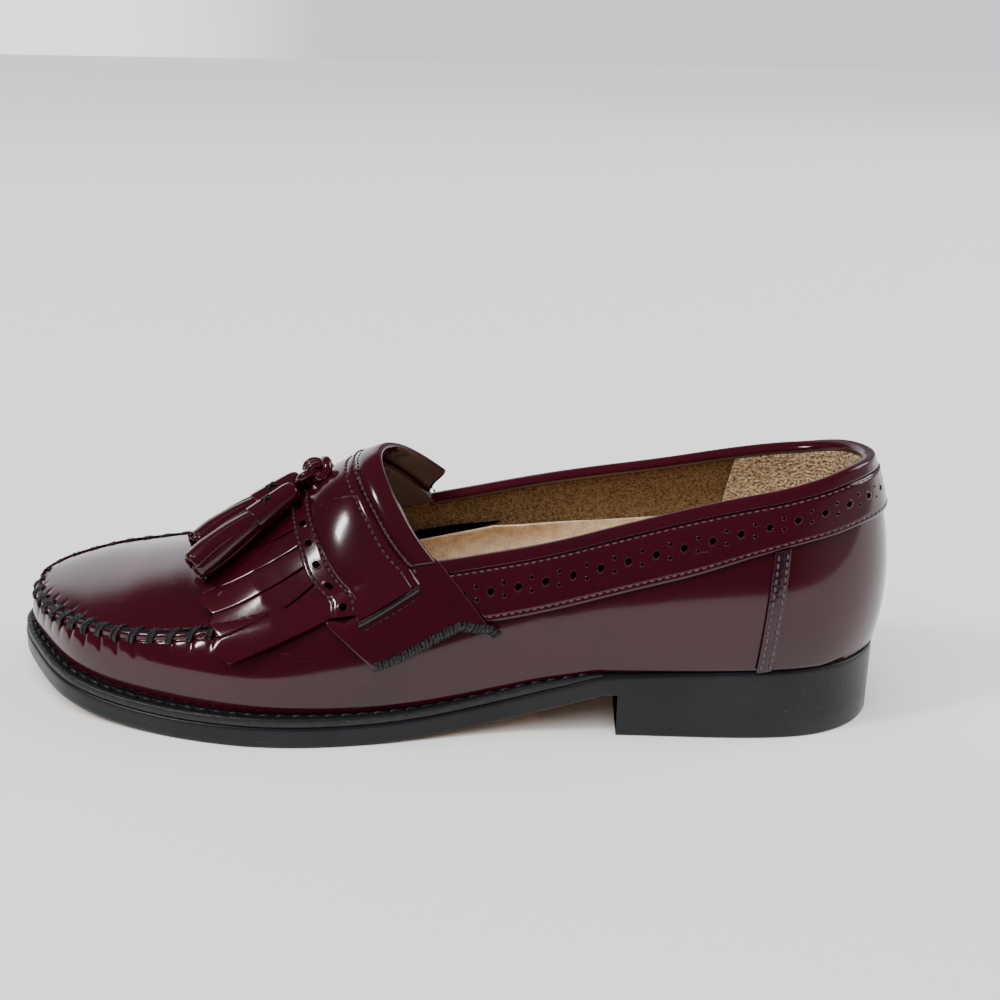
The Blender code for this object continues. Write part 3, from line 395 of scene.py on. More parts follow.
# %% Helpers that put arrays into meshes
# every piece from the floor to the last stitch goes through these
def link_mesh(name, points, faces, material=None, uv=None):
    """Mesh object from arrays: points (n, 3), faces (m, 4) and one (u, v) for each point."""
    mesh = bpy.data.meshes.new(name)
    points, faces = np.asarray(points, float).reshape(-1, 3), np.asarray(faces, int)
    mesh.vertices.add(len(points))
    mesh.vertices.foreach_set("co", points.ravel())
    sides = faces.shape[1]
    mesh.loops.add(faces.size)
    mesh.loops.foreach_set("vertex_index", faces.ravel())
    mesh.polygons.add(len(faces))
    mesh.polygons.foreach_set("loop_start", np.arange(len(faces)) * sides)
    mesh.polygons.foreach_set("use_smooth", np.ones(len(faces), bool))
    if uv is not None:
        layer = mesh.uv_layers.new(name="chart")
        layer.data.foreach_set("uv", np.asarray(uv, float).reshape(-1, 2)[faces.ravel()].ravel())
    mesh.update()
    mesh.validate()
    item = bpy.data.objects.new(name, mesh)
    bpy.context.scene.collection.objects.link(item)
    if material:
        mesh.materials.append(material)
    return item


def grid_faces(rows, columns, close_rows=False, close_columns=False):
    """Corner numbers of a grid's quads; a closed direction joins its last line to its first."""
    i = np.arange(rows if close_rows else rows - 1)
    j = np.arange(columns if close_columns else columns - 1)
    i, j = np.meshgrid(i, j, indexing="ij")
    a, b = i * columns + j, i * columns + (j + 1) % columns
    c, d = (i + 1) % rows * columns + (j + 1) % columns, (i + 1) % rows * columns + j
    return np.stack([a, b, c, d], -1).reshape(-1, 4)


def repeat_faces(one, points, times):
    """Faces of many like meshes of so many points each, one mesh after another."""
    return (one[None] + (np.arange(times) * points)[:, None, None]).reshape(-1, 4)


def pair(u, v):
    """Two arrays spread over one grid and paired as (u, v)."""
    return np.stack(np.broadcast_arrays(u, v), -1)


def dress(item, slot, *nodes):
    """The piece rides on the shoe's one body and stands for the named nodes. slot is not used."""
    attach(item, "root")
    if nodes:
        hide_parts(*nodes)
    return item


def sheet_piece(name, points, material, uv=None, flip=False, **closed):
    """Open or closed surface from a grid of points; flip turns its faces to the other side."""
    faces = grid_faces(points.shape[0], points.shape[1], **closed)
    return link_mesh(name, points, faces[:, ::-1] if flip else faces, material, uv)


def point_outwards(item):
    """Doubles merged, then the faces of a closed body turned outwards."""
    work = bmesh.new()
    work.from_mesh(item.data)
    bmesh.ops.remove_doubles(work, verts=work.verts, dist=1e-6)
    bmesh.ops.recalc_face_normals(work, faces=work.faces)
    work.to_mesh(item.data)
    work.free()
    return item


def swept_body(name, rings, material, uv=None):
    """Closed body through a row of closed rings (rows, around, 3); each end shrinks to its own middle."""
    middle = rings.mean(1, keepdims=True)
    first = middle[:1] + (rings[:1] - middle[:1]) * 0.02
    last = middle[-1:] + (rings[-1:] - middle[-1:]) * 0.02
    whole = np.concatenate([first, rings, last])
    if uv is not None:
        uv = np.concatenate([uv[:1], uv, uv[-1:]])
    return point_outwards(sheet_piece(name, whole, material, uv, close_columns=True))


def leather_edges(item, thickness, bevel, side=1):
    """Leather cut from a hide: a thickness, behind the faces where side is -1, with softly burnished edges."""
    shell = item.modifiers.new("thickness", "SOLIDIFY")
    shell.thickness, shell.offset, shell.use_even_offset, shell.use_rim = thickness, side, False, True
    soft = item.modifiers.new("edge", "BEVEL")
    soft.width, soft.segments, soft.limit_method, soft.angle_limit = bevel, 2, "ANGLE", math.radians(50)
    soft.harden_normals = False


def leather_piece(name, points, material, uv, thickness, slot, *nodes, bevel=0.0001, side=-1, **layout):
    """Sheet of leather laid on a grid of points, cut to its thickness and dressed."""
    item = sheet_piece(name, points, material, uv, **layout)
    leather_edges(item, thickness, bevel, side)
    return dress(item, slot, *nodes)


# %% Node helpers
# the room's light and every finish are made of these
def node(tree, kind, inputs=None, **settings):
    """New node with its settings, and its inputs set to values or linked to other nodes' sockets."""
    made = tree.nodes.new(kind)
    for key, value in settings.items():
        setattr(made, key, value)
    for key, value in (inputs or {}).items():
        if isinstance(value, bpy.types.NodeSocket):
            tree.links.new(value, made.inputs[key])
        else:
            made.inputs[key].default_value = value
    return made


def math_node(tree, operation, *values):
    """Output of a Math node on values or sockets."""
    return node(tree, "ShaderNodeMath", dict(enumerate(values)), operation=operation).outputs[0]


def product(tree, first, second):
    """Product of two values or sockets."""
    return math_node(tree, "MULTIPLY", first, second)

def smooth_range(tree, value, low, high, out_low=0.0, out_high=1.0):
    """Smooth step of a value between two limits, put out between two other limits."""
    limits = {"Value": value, "From Min": low, "From Max": high, "To Min": out_low, "To Max": out_high}
    return node(tree, "ShaderNodeMapRange", limits, interpolation_type="SMOOTHSTEP").outputs["Result"]


# %% Floor and soft light
floor_material = bpy.data.materials.new("pale_floor")
floor_material.use_nodes = True
floor_shader = floor_material.node_tree.nodes["Principled BSDF"]
floor_shader.inputs["Base Color"].default_value = (0.86, 0.86, 0.85, 1)
floor_shader.inputs["Roughness"].default_value = 0.9
floor_shader.inputs["Specular IOR Level"].default_value = 0.1
floor_corners = [(-40, -0.27, 0), (40, -0.27, 0), (40, 60, 0), (-40, 60, 0)]
floor = link_mesh("floor", floor_corners, [(0, 1, 2, 3)], floor_material)


def soft_box(name, position, target, size, power):
    """Rectangular area light at a position, facing a target: the bigger it is, the softer its shadow."""
    lamp = bpy.data.lights.new(name, "AREA")
    lamp.shape, lamp.size, lamp.size_y, lamp.energy = "RECTANGLE", *size, power
    item = bpy.data.objects.new(name, lamp)
    item.location = position
    item.rotation_euler = (Vector(target) - Vector(position)).to_track_quat("-Z", "Y").to_euler()
    bpy.context.scene.collection.objects.link(item)


soft_box("lamp_on_the_left", (-3.26, -1.69, 3.59), (-0.14, -0.03, 0.06), (0.5, 1.1), 110)
soft_box("screen_on_the_right", (4.2, 1.2, 3.1), (-0.1, 0, 0.0), (3.0, 3.0), 160)
fill = bpy.data.objects.new("fill_from_above", bpy.data.lights.new("fill_from_above", "SUN"))
fill.data.energy, fill.data.angle = 3.9, math.radians(70)
fill.rotation_euler = Vector((0.15, 0.45, -1.0)).to_track_quat("-Z", "Y").to_euler()
fill.visible_glossy = False
bpy.context.scene.collection.objects.link(fill)
# the room: pale from the window side behind the shoe and from the right, dark behind the camera and overhead
world = bpy.data.worlds.new("studio")
world.use_nodes = True
room = world.node_tree
way = node(room, "ShaderNodeTexCoord").outputs["Generated"]
toward_x, toward_y, toward_z = node(room, "ShaderNodeSeparateXYZ", {0: way}).outputs
behind = product(room, smooth_range(room, toward_y, 0.42, 0.62), smooth_range(room, toward_z, 0.74, 0.50))
window = product(room, behind, math_node(room, "ADD", 0.12, smooth_range(room, toward_x, -0.02, -0.32)))
horizon = product(room, smooth_range(room, toward_z, 0.13, 0.07), smooth_range(room, toward_y, 0.0, 0.4))
side_glow = product(room, smooth_range(room, toward_x, 0.3, 0.95), smooth_range(room, toward_z, 0.6, 0.1))
WINDOW_LIGHT, SIDE_LIGHT, DIM_LIGHT = 1.7, 0.45, 0.09
bright = math_node(room, "ADD", product(room, window, WINDOW_LIGHT), product(room, side_glow, SIDE_LIGHT))
bright = math_node(room, "MAXIMUM", bright, horizon)
room.links.new(math_node(room, "ADD", bright, DIM_LIGHT), room.nodes["Background"].inputs["Strength"])
room.nodes["Background"].inputs["Color"].default_value = (0.93, 0.95, 1.0, 1)
bpy.context.scene.world = world
print("lights: 2 soft boxes, a fill and a room")

# %% [markdown]
# ## Finishes
# The upper is corrected leather: sanded, dyed oxblood, sealed with a hard gloss. So its grain is almost flat and
# its shine is strong, with cloudy dye, near black and rougher on the top of the moccasin seam's roll, and fine dry
# scratches where it was touched.
# Suede lining, waxed thread, blacked sole edges and raw sole leather need the same few effects with other values.
# Each effect is therefore a node group with named sockets, built once and placed wherever it is needed.

# %% Helpers for colours and groups
def mix_colours(tree, share, first, second):
    """Colour between two, by share."""
    mixed = node(tree, "ShaderNodeMix", {"Factor": share}, data_type="RGBA")
    for socket, value in ((mixed.inputs[6], first), (mixed.inputs[7], second)):
        if isinstance(value, bpy.types.NodeSocket):
            tree.links.new(value, socket)
        else:
            socket.default_value = value
    return mixed.outputs[2]


def new_group(name, inputs, outputs):
    """Node group with named sockets; returns it with its input and output nodes."""
    group = bpy.data.node_groups.new(name, "ShaderNodeTree")
    for label, kind, value in inputs:
        socket = group.interface.new_socket(name=label, in_out="INPUT", socket_type="NodeSocket" + kind)
        socket.default_value = value
    for label, kind in outputs:
        group.interface.new_socket(name=label, in_out="OUTPUT", socket_type="NodeSocket" + kind)
    return group, group.nodes.new("NodeGroupInput"), group.nodes.new("NodeGroupOutput")


def place_group(tree, group, **inputs):
    """Instance of a group in a material; underscores in names stand for spaces."""
    made = tree.nodes.new("ShaderNodeGroup")
    made.node_tree = group
    for key, value in inputs.items():
        socket = made.inputs[key.replace("_", " ")]
        if isinstance(value, bpy.types.NodeSocket):
            tree.links.new(value, socket)
        else:
            socket.default_value = value
    return made


# %% Group: leather surface
leather_surface, given, put = new_group("leather surface", [
    ("Colour", "Color", (0.09, 0.006, 0.014, 1)), ("Deep Colour", "Color", (0.03, 0.003, 0.008, 1)),
    ("Cloud Scale", "Float", 14.0), ("Cloudiness", "Float", 0.5), ("Pore Scale", "Float", 900.0),
    ("Pore Height", "Float", 0.3), ("Roughness", "Float", 0.15), ("Scratches", "Float", 0.1),
], [("Colour", "Color"), ("Roughness", "Float"), ("Height", "Float")])
tree = leather_surface
where = node(tree, "ShaderNodeTexCoord").outputs["Object"]
clouds = node(tree, "ShaderNodeTexNoise", {"Vector": where, "Scale": given.outputs["Cloud Scale"], "Detail": 4.0,
                                           "Roughness": 0.55}).outputs["Fac"]
cloudy = product(tree, smooth_range(tree, clouds, 0.35, 0.72), given.outputs["Cloudiness"])
dyed = mix_colours(tree, cloudy, given.outputs["Colour"], given.outputs["Deep Colour"])
pores = node(tree, "ShaderNodeTexVoronoi", {"Vector": where, "Scale": given.outputs["Pore Scale"]},
             feature="SMOOTH_F1").outputs["Distance"]
swell = node(tree, "ShaderNodeTexNoise", {"Vector": where, "Scale": 120.0, "Detail": 3.0}).outputs["Fac"]
stretched = node(tree, "ShaderNodeMapping", {"Vector": where, "Rotation": (0.3, 0.5, 0.9), "Scale": (60, 900, 500)})
fine_lines = node(tree, "ShaderNodeTexNoise", {"Vector": stretched.outputs[0], "Scale": 1.0,
                                               "Detail": 2.0}).outputs["Fac"]
patches = node(tree, "ShaderNodeTexNoise", {"Vector": where, "Scale": 30.0, "Detail": 2.0}).outputs["Fac"]
scratched = product(tree, smooth_range(tree, fine_lines, 0.66, 0.74), smooth_range(tree, patches, 0.5, 0.68))
rubbed = product(tree, scratched, given.outputs["Scratches"])
rough = math_node(tree, "ADD", math_node(tree, "MULTIPLY_ADD", cloudy, 0.05, given.outputs["Roughness"]),
                  product(tree, rubbed, 1.5))
height = math_node(tree, "ADD", product(tree, pores, given.outputs["Pore Height"]),
                   math_node(tree, "SUBTRACT", product(tree, swell, 0.8), rubbed))
tree.links.new(mix_colours(tree, rubbed, dyed, (0.10, 0.085, 0.09, 1)), put.inputs["Colour"])
tree.links.new(rough, put.inputs["Roughness"])
tree.links.new(height, put.inputs["Height"])

# %% Group: row of punched holes
punched_row, given, put = new_group("punched row", [
    ("Along", "Float", 0.0), ("Across", "Float", 0.0), ("Pitch", "Float", 0.009), ("Offset", "Float", 0.0),
    ("Level", "Float", 0.0), ("Radius", "Float", 0.00125),
], [("Hole", "Float"), ("Lip", "Float")])
tree = punched_row
pitches = math_node(tree, "DIVIDE", given.outputs["Along"], given.outputs["Pitch"])
cell = math_node(tree, "ADD", pitches, given.outputs["Offset"])
along = product(tree, math_node(tree, "SUBTRACT", math_node(tree, "FRACT", cell), 0.5), given.outputs["Pitch"])
across = math_node(tree, "SUBTRACT", given.outputs["Across"], given.outputs["Level"])
squares = math_node(tree, "ADD", math_node(tree, "POWER", along, 2.0), math_node(tree, "POWER", across, 2.0))
away = math_node(tree, "SQRT", squares)
share = math_node(tree, "DIVIDE", away, given.outputs["Radius"])
tree.links.new(smooth_range(tree, share, 1.08, 0.80), put.inputs["Hole"])
lip = product(tree, smooth_range(tree, share, 0.95, 1.15), smooth_range(tree, share, 1.6, 1.2))
tree.links.new(lip, put.inputs["Lip"])
print("groups:", [group.name for group in bpy.data.node_groups])


# %% Burgundy leather, with or without holes
def new_material(name):
    """Material with its tree and its Principled shader."""
    made = bpy.data.materials.new(name)
    made.use_nodes = True
    return made, made.node_tree, made.node_tree.nodes["Principled BSDF"]


def bump(tree, shader, height, distance, strength=1.0):
    """Height in millimetre-like units joined to the shader's normal."""
    made = node(tree, "ShaderNodeBump", {"Height": height, "Distance": distance, "Strength": strength})
    tree.links.new(made.outputs[0], shader.inputs["Normal"])


def burgundy(name, holes=(), edge_dark=None, pore=0.10):
    """Oxblood gloss leather. holes: rows of (pitch, offset, level, radius), read from the piece's own UV in metres,
    with each hole's inside painted near black as shade. edge_dark: (v_from, v_to) of the UV where the leather darkens
    to near black."""
    made, tree, shader = new_material(name)
    skin = place_group(tree, leather_surface, Colour=(0.036, 0.0018, 0.0062, 1),
                       Deep_Colour=(0.018, 0.0011, 0.0036, 1), Cloud_Scale=16.0, Cloudiness=0.65, Pore_Scale=1100.0,
                       Pore_Height=pore, Roughness=0.13, Scratches=0.12)
    colour, rough, height = skin.outputs["Colour"], skin.outputs["Roughness"], skin.outputs["Height"]
    height = product(tree, height, 0.05)
    chart = node(tree, "ShaderNodeUVMap", uv_map="chart").outputs[0]
    split = node(tree, "ShaderNodeSeparateXYZ", {0: chart})
    coat, punched = 0.26, 0.0
    for pitch, offset, level, radius in holes:
        hole, lip = place_group(tree, punched_row, Along=split.outputs[0], Across=split.outputs[1], Pitch=pitch,
                                Offset=offset, Level=level, Radius=radius).outputs
        # painted shade: inside each hole the colour turns near black, standing in for the shade in the recess
        colour = mix_colours(tree, hole, colour, (0.006, 0.002, 0.003, 1))
        height = math_node(tree, "SUBTRACT", height, product(tree, hole, 0.9))
        rough = math_node(tree, "ADD", rough, product(tree, hole, 0.8))
        coat = math_node(tree, "SUBTRACT", coat, hole)
        punched = math_node(tree, "MAXIMUM", punched, hole)
        height = math_node(tree, "ADD", height, product(tree, lip, 0.12))
    if holes:
        # painted shade: a hole's inside is made metallic as well as near black, so it reflects nothing and stays dark
        # like the shade in a real hole
        tree.links.new(punched, shader.inputs["Metallic"])
    # where edge_dark is given, the leather turns near black, rougher and less coated towards one edge of its UV: on
    # the vamp and the plug, the top of the seam's roll
    if edge_dark:
        near_black = smooth_range(tree, split.outputs[1], *edge_dark)
        colour = mix_colours(tree, near_black, colour, (0.004, 0.003, 0.004, 1))
        rough = math_node(tree, "ADD", rough, product(tree, near_black, 0.30))
        coat = math_node(tree, "SUBTRACT", coat, product(tree, near_black, 0.4))
    tree.links.new(colour, shader.inputs["Base Color"])
    tree.links.new(rough, shader.inputs["Roughness"])
    shader.inputs["IOR"].default_value = 1.52
    shader.inputs["Specular IOR Level"].default_value = 0.33
    if holes or edge_dark:
        tree.links.new(math_node(tree, "MAXIMUM", coat, 0.0), shader.inputs["Coat Weight"])
    else:
        shader.inputs["Coat Weight"].default_value = coat
    shader.inputs["Coat Roughness"].default_value = 0.05
    bump(tree, shader, height, 0.0008)
    return made


leather = burgundy("oxblood_leather")
print("leather ready")


# %% Thread, sole edge, raw leather, suede
def plain_finish(name, colour, deep, roughness, bump_distance, cloud=30.0, cloudiness=0.6, pore_scale=700.0, pore=1.0,
                 scratches=0.0, specular=0.5):
    """Finish made of the leather surface group alone, with its own colours and roughness."""
    made, tree, shader = new_material(name)
    skin = place_group(tree, leather_surface, Colour=colour, Deep_Colour=deep, Cloud_Scale=cloud,
                       Cloudiness=cloudiness, Pore_Scale=pore_scale, Pore_Height=pore, Roughness=roughness,
                       Scratches=scratches)
    tree.links.new(skin.outputs["Colour"], shader.inputs["Base Color"])
    tree.links.new(skin.outputs["Roughness"], shader.inputs["Roughness"])
    shader.inputs["Specular IOR Level"].default_value = specular
    bump(tree, shader, skin.outputs["Height"], bump_distance)
    return made


black_thread = plain_finish("waxed_black_thread", (0.010, 0.009, 0.011, 1), (0.003, 0.003, 0.004, 1), 0.36, 0.0004,
                            cloud=500.0, pore_scale=2000.0, specular=0.5)
dark_thread = plain_finish("burgundy_thread", (0.11, 0.055, 0.070, 1), (0.03, 0.014, 0.020, 1), 0.40, 0.0001,
                           cloud=500.0)
welt_black = plain_finish("welt", (0.007, 0.007, 0.0085, 1), (0.004, 0.004, 0.005, 1), 0.46, 0.0002, cloud=220.0,
                          cloudiness=0.9, pore_scale=700.0)
suede = plain_finish("tan_suede", (0.28, 0.175, 0.088, 1), (0.08, 0.044, 0.018, 1), 0.95, 0.0006, cloud=1100.0,
                     cloudiness=1.0, pore_scale=1500.0, specular=0.15)
heel_suede = plain_finish("rough_heel_suede", (0.72, 0.56, 0.37, 1), (0.12, 0.075, 0.036, 1), 0.98, 0.0008,
                          cloud=1000.0, cloudiness=1.0, pore_scale=1100.0, specular=0.1)
insole_tan = plain_finish("tan_insole", (0.86, 0.66, 0.45, 1), (0.58, 0.40, 0.23, 1), 0.9, 0.0005, cloud=300.0,
                          cloudiness=0.7, pore_scale=1500.0, specular=0.2)
print("finishes:", len(bpy.data.materials))

# %% [markdown]
# ## Sole, heel, welt and insole
# A leather outsole is cut to one outline, its edge trimmed, inked black and burnished, its underside left tan.
# The heel block is a stack of leather lifts under it, with a concave breast at the front.
# Both are slabs: closed rings of the same outline stacked over each other, capped by rows from side to side.
# The ring's corner is rounded over three rings, because a real edge never ends in a knife's corner.

# %% Slabs
def closed_slab(name, loops, material, edge_mark=1.0):
    """Closed body of stacked rings (levels, around, 3), capped below and above by straight rows across.
    UV: v is edge_mark on the rim, 0 on the lower cap and 1 on the upper one, so that one material can blacken the rim
    and the upper cap and leave the lower cap raw."""
    levels, around = loops.shape[:2]
    half, rows = around // 2, 9
    caps = []
    for loop in (loops[0], loops[-1]):
        outer, inner = loop[:half + 1], np.concatenate([loop[:1], loop[:half - 1:-1]])[:half + 1]
        share = np.linspace(0, 1, rows)[None, :, None]
        caps.append(outer[:, None] * (1 - share) + inner[:, None] * share)
    rim = grid_faces(levels, around, close_columns=True)
    below = grid_faces(half + 1, rows) + levels * around
    cap_points = len(caps[0]) * rows
    above = grid_faces(half + 1, rows)[:, ::-1] + levels * around + cap_points
    points = np.concatenate([loops.reshape(-1, 3), caps[0].reshape(-1, 3), caps[1].reshape(-1, 3)])
    uv = np.zeros((len(points), 2))
    uv[:, 0] = points[:, 0]
    uv[:levels * around, 1] = np.broadcast_to(edge_mark, (levels, around)).ravel()
    uv[levels * around + cap_points:, 1] = 1.0
    slab = point_outwards(link_mesh(name, points, np.concatenate([rim, below, above]), material, uv))
    slab.data.set_sharp_from_angle(angle=math.radians(55))
    return slab


def inked_edge(name):
    """Raw sole leather whose rim, v = 1 in its UV, is inked black and burnished."""
    made, tree, shader = new_material(name)
    raw = place_group(tree, leather_surface, Colour=(0.33, 0.19, 0.10, 1), Deep_Colour=(0.17, 0.09, 0.045, 1),
                      Cloud_Scale=35.0, Cloudiness=0.8, Pore_Scale=500.0, Pore_Height=0.6, Roughness=0.6,
                      Scratches=0.4)
    near_black = place_group(tree, leather_surface, Colour=(0.008, 0.0088, 0.0105, 1),
                      Deep_Colour=(0.004, 0.0044, 0.0053, 1), Cloud_Scale=45.0, Cloudiness=0.8, Pore_Scale=900.0,
                      Pore_Height=0.25, Roughness=0.33, Scratches=0.35)
    chart = node(tree, "ShaderNodeUVMap", uv_map="chart").outputs[0]
    inked = smooth_range(tree, node(tree, "ShaderNodeSeparateXYZ", {0: chart}).outputs[1], 0.35, 0.65)
    colour = mix_colours(tree, inked, raw.outputs["Colour"], near_black.outputs["Colour"])
    tree.links.new(colour, shader.inputs["Base Color"])
    roughs = {0: inked, 2: raw.outputs["Roughness"], 3: near_black.outputs["Roughness"]}
    tree.links.new(node(tree, "ShaderNodeMix", roughs, data_type="FLOAT").outputs[0], shader.inputs["Roughness"])
    shader.inputs["Specular IOR Level"].default_value = 0.28
    bump(tree, shader, near_black.outputs["Height"], 0.00015)
    return made


sole_leather = inked_edge("sole_leather_with_inked_edge")

# %% Outsole
ring_t = np.arange(480) / 480
bevel = 0.0008
breast_t = row_at(HEEL_LENGTH / LENGTH)
edge_levels = (
    (bevel, 0), (bevel * 0.3, bevel * 0.3), (0, bevel), (0, 0.3 * SOLE_THICKNESS), (0, 0.7 * SOLE_THICKNESS),
    (0, SOLE_THICKNESS - bevel), (bevel * 0.3, SOLE_THICKNESS - bevel * 0.3), (bevel, SOLE_THICKNESS),
)
# over the heel block the lower corner is flush, so that no line shows between sole and heel
ahead_of_heel = fade(np.minimum(ring_t, 1 - ring_t), breast_t - 0.002, breast_t + 0.002)
loops = []
for inset, level in edge_levels:
    free = 1.0 if level > 0.5 * SOLE_THICKNESS else ahead_of_heel
    s, y = outline(ring_t, inset * free)
    loops.append(place(s, y, sole_bottom(s) + level * np.maximum(free, 0.02)))
outsole = dress(closed_slab("leather_outsole", np.stack(loops), sole_leather), "sole_edge", "outsole")
print("outsole faces:", len(outsole.data.polygons))

# %% Heel block
# the ring is a D: the outline round the back, then the breast, which curves in by 2 mm at its middle and is raw
# leather there, between two inked corners
BREAST_BOW, RAW_HALF_WIDTH = 0.0022, 0.031
side = np.linspace(breast_t, -breast_t, 241)
loops = []
for inset, level in ((bevel, 0), (bevel * 0.3, bevel * 0.3), (0, bevel), (0, 0.5), (0, 0.97), (0, 1.0)):
    s, y = outline(side, inset)
    s[[0, -1]] = HEEL_LENGTH
    across = np.linspace(y[-1], y[0], 39)
    bow = BREAST_BOW * (1 - np.linspace(-1, 1, 39) ** 2)
    s, y = np.concatenate([s, HEEL_LENGTH - bow]), np.concatenate([y, across])
    top = sole_bottom(s) + 0.00005
    loops.append(place(s, y, np.where(level > bevel, level * top, level)))
loops = np.roll(np.stack(loops), -120, axis=1)
mark = np.ones(loops.shape[1])
on_breast = np.abs(loops[2, :, 0] + HEEL_LENGTH / 2) < BREAST_BOW + 0.0013
mark[on_breast & (np.abs(loops[2, :, 1]) < RAW_HALF_WIDTH)] = 0.0
heel_block = dress(closed_slab("heel_block", loops, sole_leather, mark), "sole_edge", "heel")
print("heel faces:", len(heel_block.data.polygons))

# %% Welt
# a strip on the sole's rim; its profile is a rounded tongue with a groove in which the stitches lie
welt_start = row_at(WELT_END)
welt_t = np.linspace(welt_start, 1 - welt_start, 620)


def foot_inset(t, further=0.0):
    """Way in from the sole's outline to the wall's foot, and further in."""
    return wall_table["foot_in"](t) * WIDTH + further


under_wall = foot_inset(welt_t, WALL * 0.8)
profile = ((0, 0.0), (1, 0.0), (1, 0.15), (1, 0.72), (0.93, 0.95), (0.85, 1.0), (0.62, 1.0), (0.5, 0.80),
           (0.38, 1.0), (0, 1.0))
rings = []
for outwards, up in profile:
    inset = under_wall + (0.0004 - under_wall) * outwards
    s, y = outline(welt_t, inset)
    low = sole_top(s) + GAP
    rings.append(place(s, y, low + (welt_top(s) - low) * up))
rings = np.stack(rings, 1)
welt = dress(swept_body("stitched_welt", rings, welt_black), "welt", "welt")
print("welt faces:", len(welt.data.polygons))

# %% Insole
INSOLE_THICKNESS, INSOLE_ROUNDING = 0.0040, 0.0012
s, y = outline(ring_t, foot_inset(ring_t, WALL + 2 * GAP))
rounded_s, rounded_y = outline(ring_t, foot_inset(ring_t, WALL + 2 * GAP + INSOLE_ROUNDING))
foot = sole_top(s) + GAP
loops = [place(s, y, foot), place(s, y, foot + INSOLE_THICKNESS - INSOLE_ROUNDING),
         place(rounded_s, rounded_y, foot + INSOLE_THICKNESS)]
insole = dress(closed_slab("insole_sock", np.stack(loops), insole_tan), "lining", "insole")
print("insole faces:", len(insole.data.polygons))

# %% [markdown]
# ## Stitches
# Every seam on a shoe is a row of short bridges of thread that dip into the leather at both ends.
# A stitch is a small arched capsule, so a row of hundreds stays light, and its shadow and gloss are real.
# All stitches of a row are worked out at once: a matrix of stitches, rings and corners.

# %% Stitch helpers
def thread_mesh(name, path, radius, up, material, corners=6):
    """Many short threads in one mesh: path (threads, rings, 3), radius (rings,), up (threads, 3) about square to
    them. A ring lies square to its thread: side = slope x up, over = side x slope."""
    slope = unit(np.gradient(path, axis=1))
    side = unit(np.cross(slope, up[:, None]))
    over = np.cross(side, slope)
    angle = 2 * math.pi * np.arange(corners) / corners
    around = side[:, :, None] * np.cos(angle)[:, None] + over[:, :, None] * np.sin(angle)[:, None]
    points = path[:, :, None] + around * np.asarray(radius)[None, :, None, None]
    threads, rings = path.shape[:2]
    faces = repeat_faces(grid_faces(rings, corners, close_columns=True), rings * corners, threads)
    return point_outwards(link_mesh(name, points, faces, material))


def rounded_ends(count):
    """Shares of a thread's radius along it: whole in the middle and rounded off at both ends."""
    return np.sqrt(np.clip(1 - np.linspace(-1, 1, count) ** 6, 0, 1))


def through(anchors, count):
    """Smooth paths through rows of anchors (paths, anchors, 3): between two anchors a cubic whose end slopes are
    half the difference of the neighbours on both sides."""
    last = anchors.shape[1] - 1
    where = np.linspace(0, last, count)
    i = np.minimum(where.astype(int), last - 1)
    u = (where - i)[None, :, None]
    p0, p1, p2, p3 = (anchors[:, np.clip(i + step, 0, last)] for step in (-1, 0, 1, 2))
    square, cube = 2 * p0 - 5 * p1 + 4 * p2 - p3, 3 * p1 - p0 - 3 * p2 + p3
    return 0.5 * (2 * p1 + (p2 - p0) * u + square * u ** 2 + cube * u ** 3)


def travel(path):
    """Distance along a dense path (n, 3)."""
    return np.concatenate([[0.0], np.cumsum(np.linalg.norm(np.diff(path, axis=0), axis=1))])


def read_path(path, run, wanted):
    """Points of a path at the wanted distances."""
    return np.stack([np.interp(wanted, run, path[:, axis]) for axis in range(3)], -1)


def stitch_row(name, lines, pitch, thickness, material, gap=0.26, rise=0.35):
    """Rows of stitches along lines of (path, normals): each starts a pitch after the last, and arches by rise."""
    paths, ups = [], []
    share = np.linspace(0, 1, 6)
    for path, normals in lines:
        run = travel(path)
        count = max(int(run[-1] / pitch), 1)
        start = (run[-1] - count * pitch) / 2 + pitch * np.arange(count) + pitch * gap / 2
        where = start[:, None] + share * pitch * (1 - gap)
        up = unit(read_path(normals, run, where.mean(1)))
        arch = thickness * (rise * np.sin(math.pi * share) * 1.6 - 0.25)
        paths.append(read_path(path, run, where.ravel()).reshape(count, 6, 3) + up[:, None] * arch[None, :, None])
        ups.append(up)
    radius = thickness / 2 * np.array([0.0, 0.85, 1.0, 1.0, 0.85, 0.0])
    return thread_mesh(name, np.concatenate(paths), radius, np.concatenate(ups), material)


def line_with_normals(chart, t, across, lift):
    """Path on one of the two charts, on_side or on_skin, with its normals."""
    path = chart(t, across, lift)
    return path, chart(t, across, np.asarray(lift) + 1.0) - path


# %% Stitches on the welt
stitch_t = np.linspace(welt_start + 0.004, 1 - welt_start - 0.004, 1500)
inset = foot_inset(stitch_t, WALL * 0.8) * 0.5 + 0.0002
s, y = outline(stitch_t, inset)
path = place(s, y, welt_top(s) - 0.0002)
upright = np.zeros_like(path) + (0, 0, 1.0)
welt_stitches = stitch_row("welt_stitches", [(path, upright)], pitch=0.0052, thickness=0.0013,
                           material=welt_black, gap=0.16, rise=0.3)
dress(welt_stitches, "welt")
print("welt stitches:", len(welt_stitches.data.polygons))

# %% [markdown]
# ## The vamp, the plug and the moccasin seam
# The vamp is one skin that comes up round the toes like a tray. The plug is the lid sewn to its edge by hand.
# The vamp's edge is longer than the plug's, so each stitch draws it into a pucker: a crease below the stitch and
# a soft swelling between two stitches. The seam itself stands up as a lumpy roll under thick black thread.
# All of that is a height over the smooth form, a function of two lengths: how far along the seam, and how far
# from it. Leather is then given its thickness inwards, and a lining of its own lies behind it.

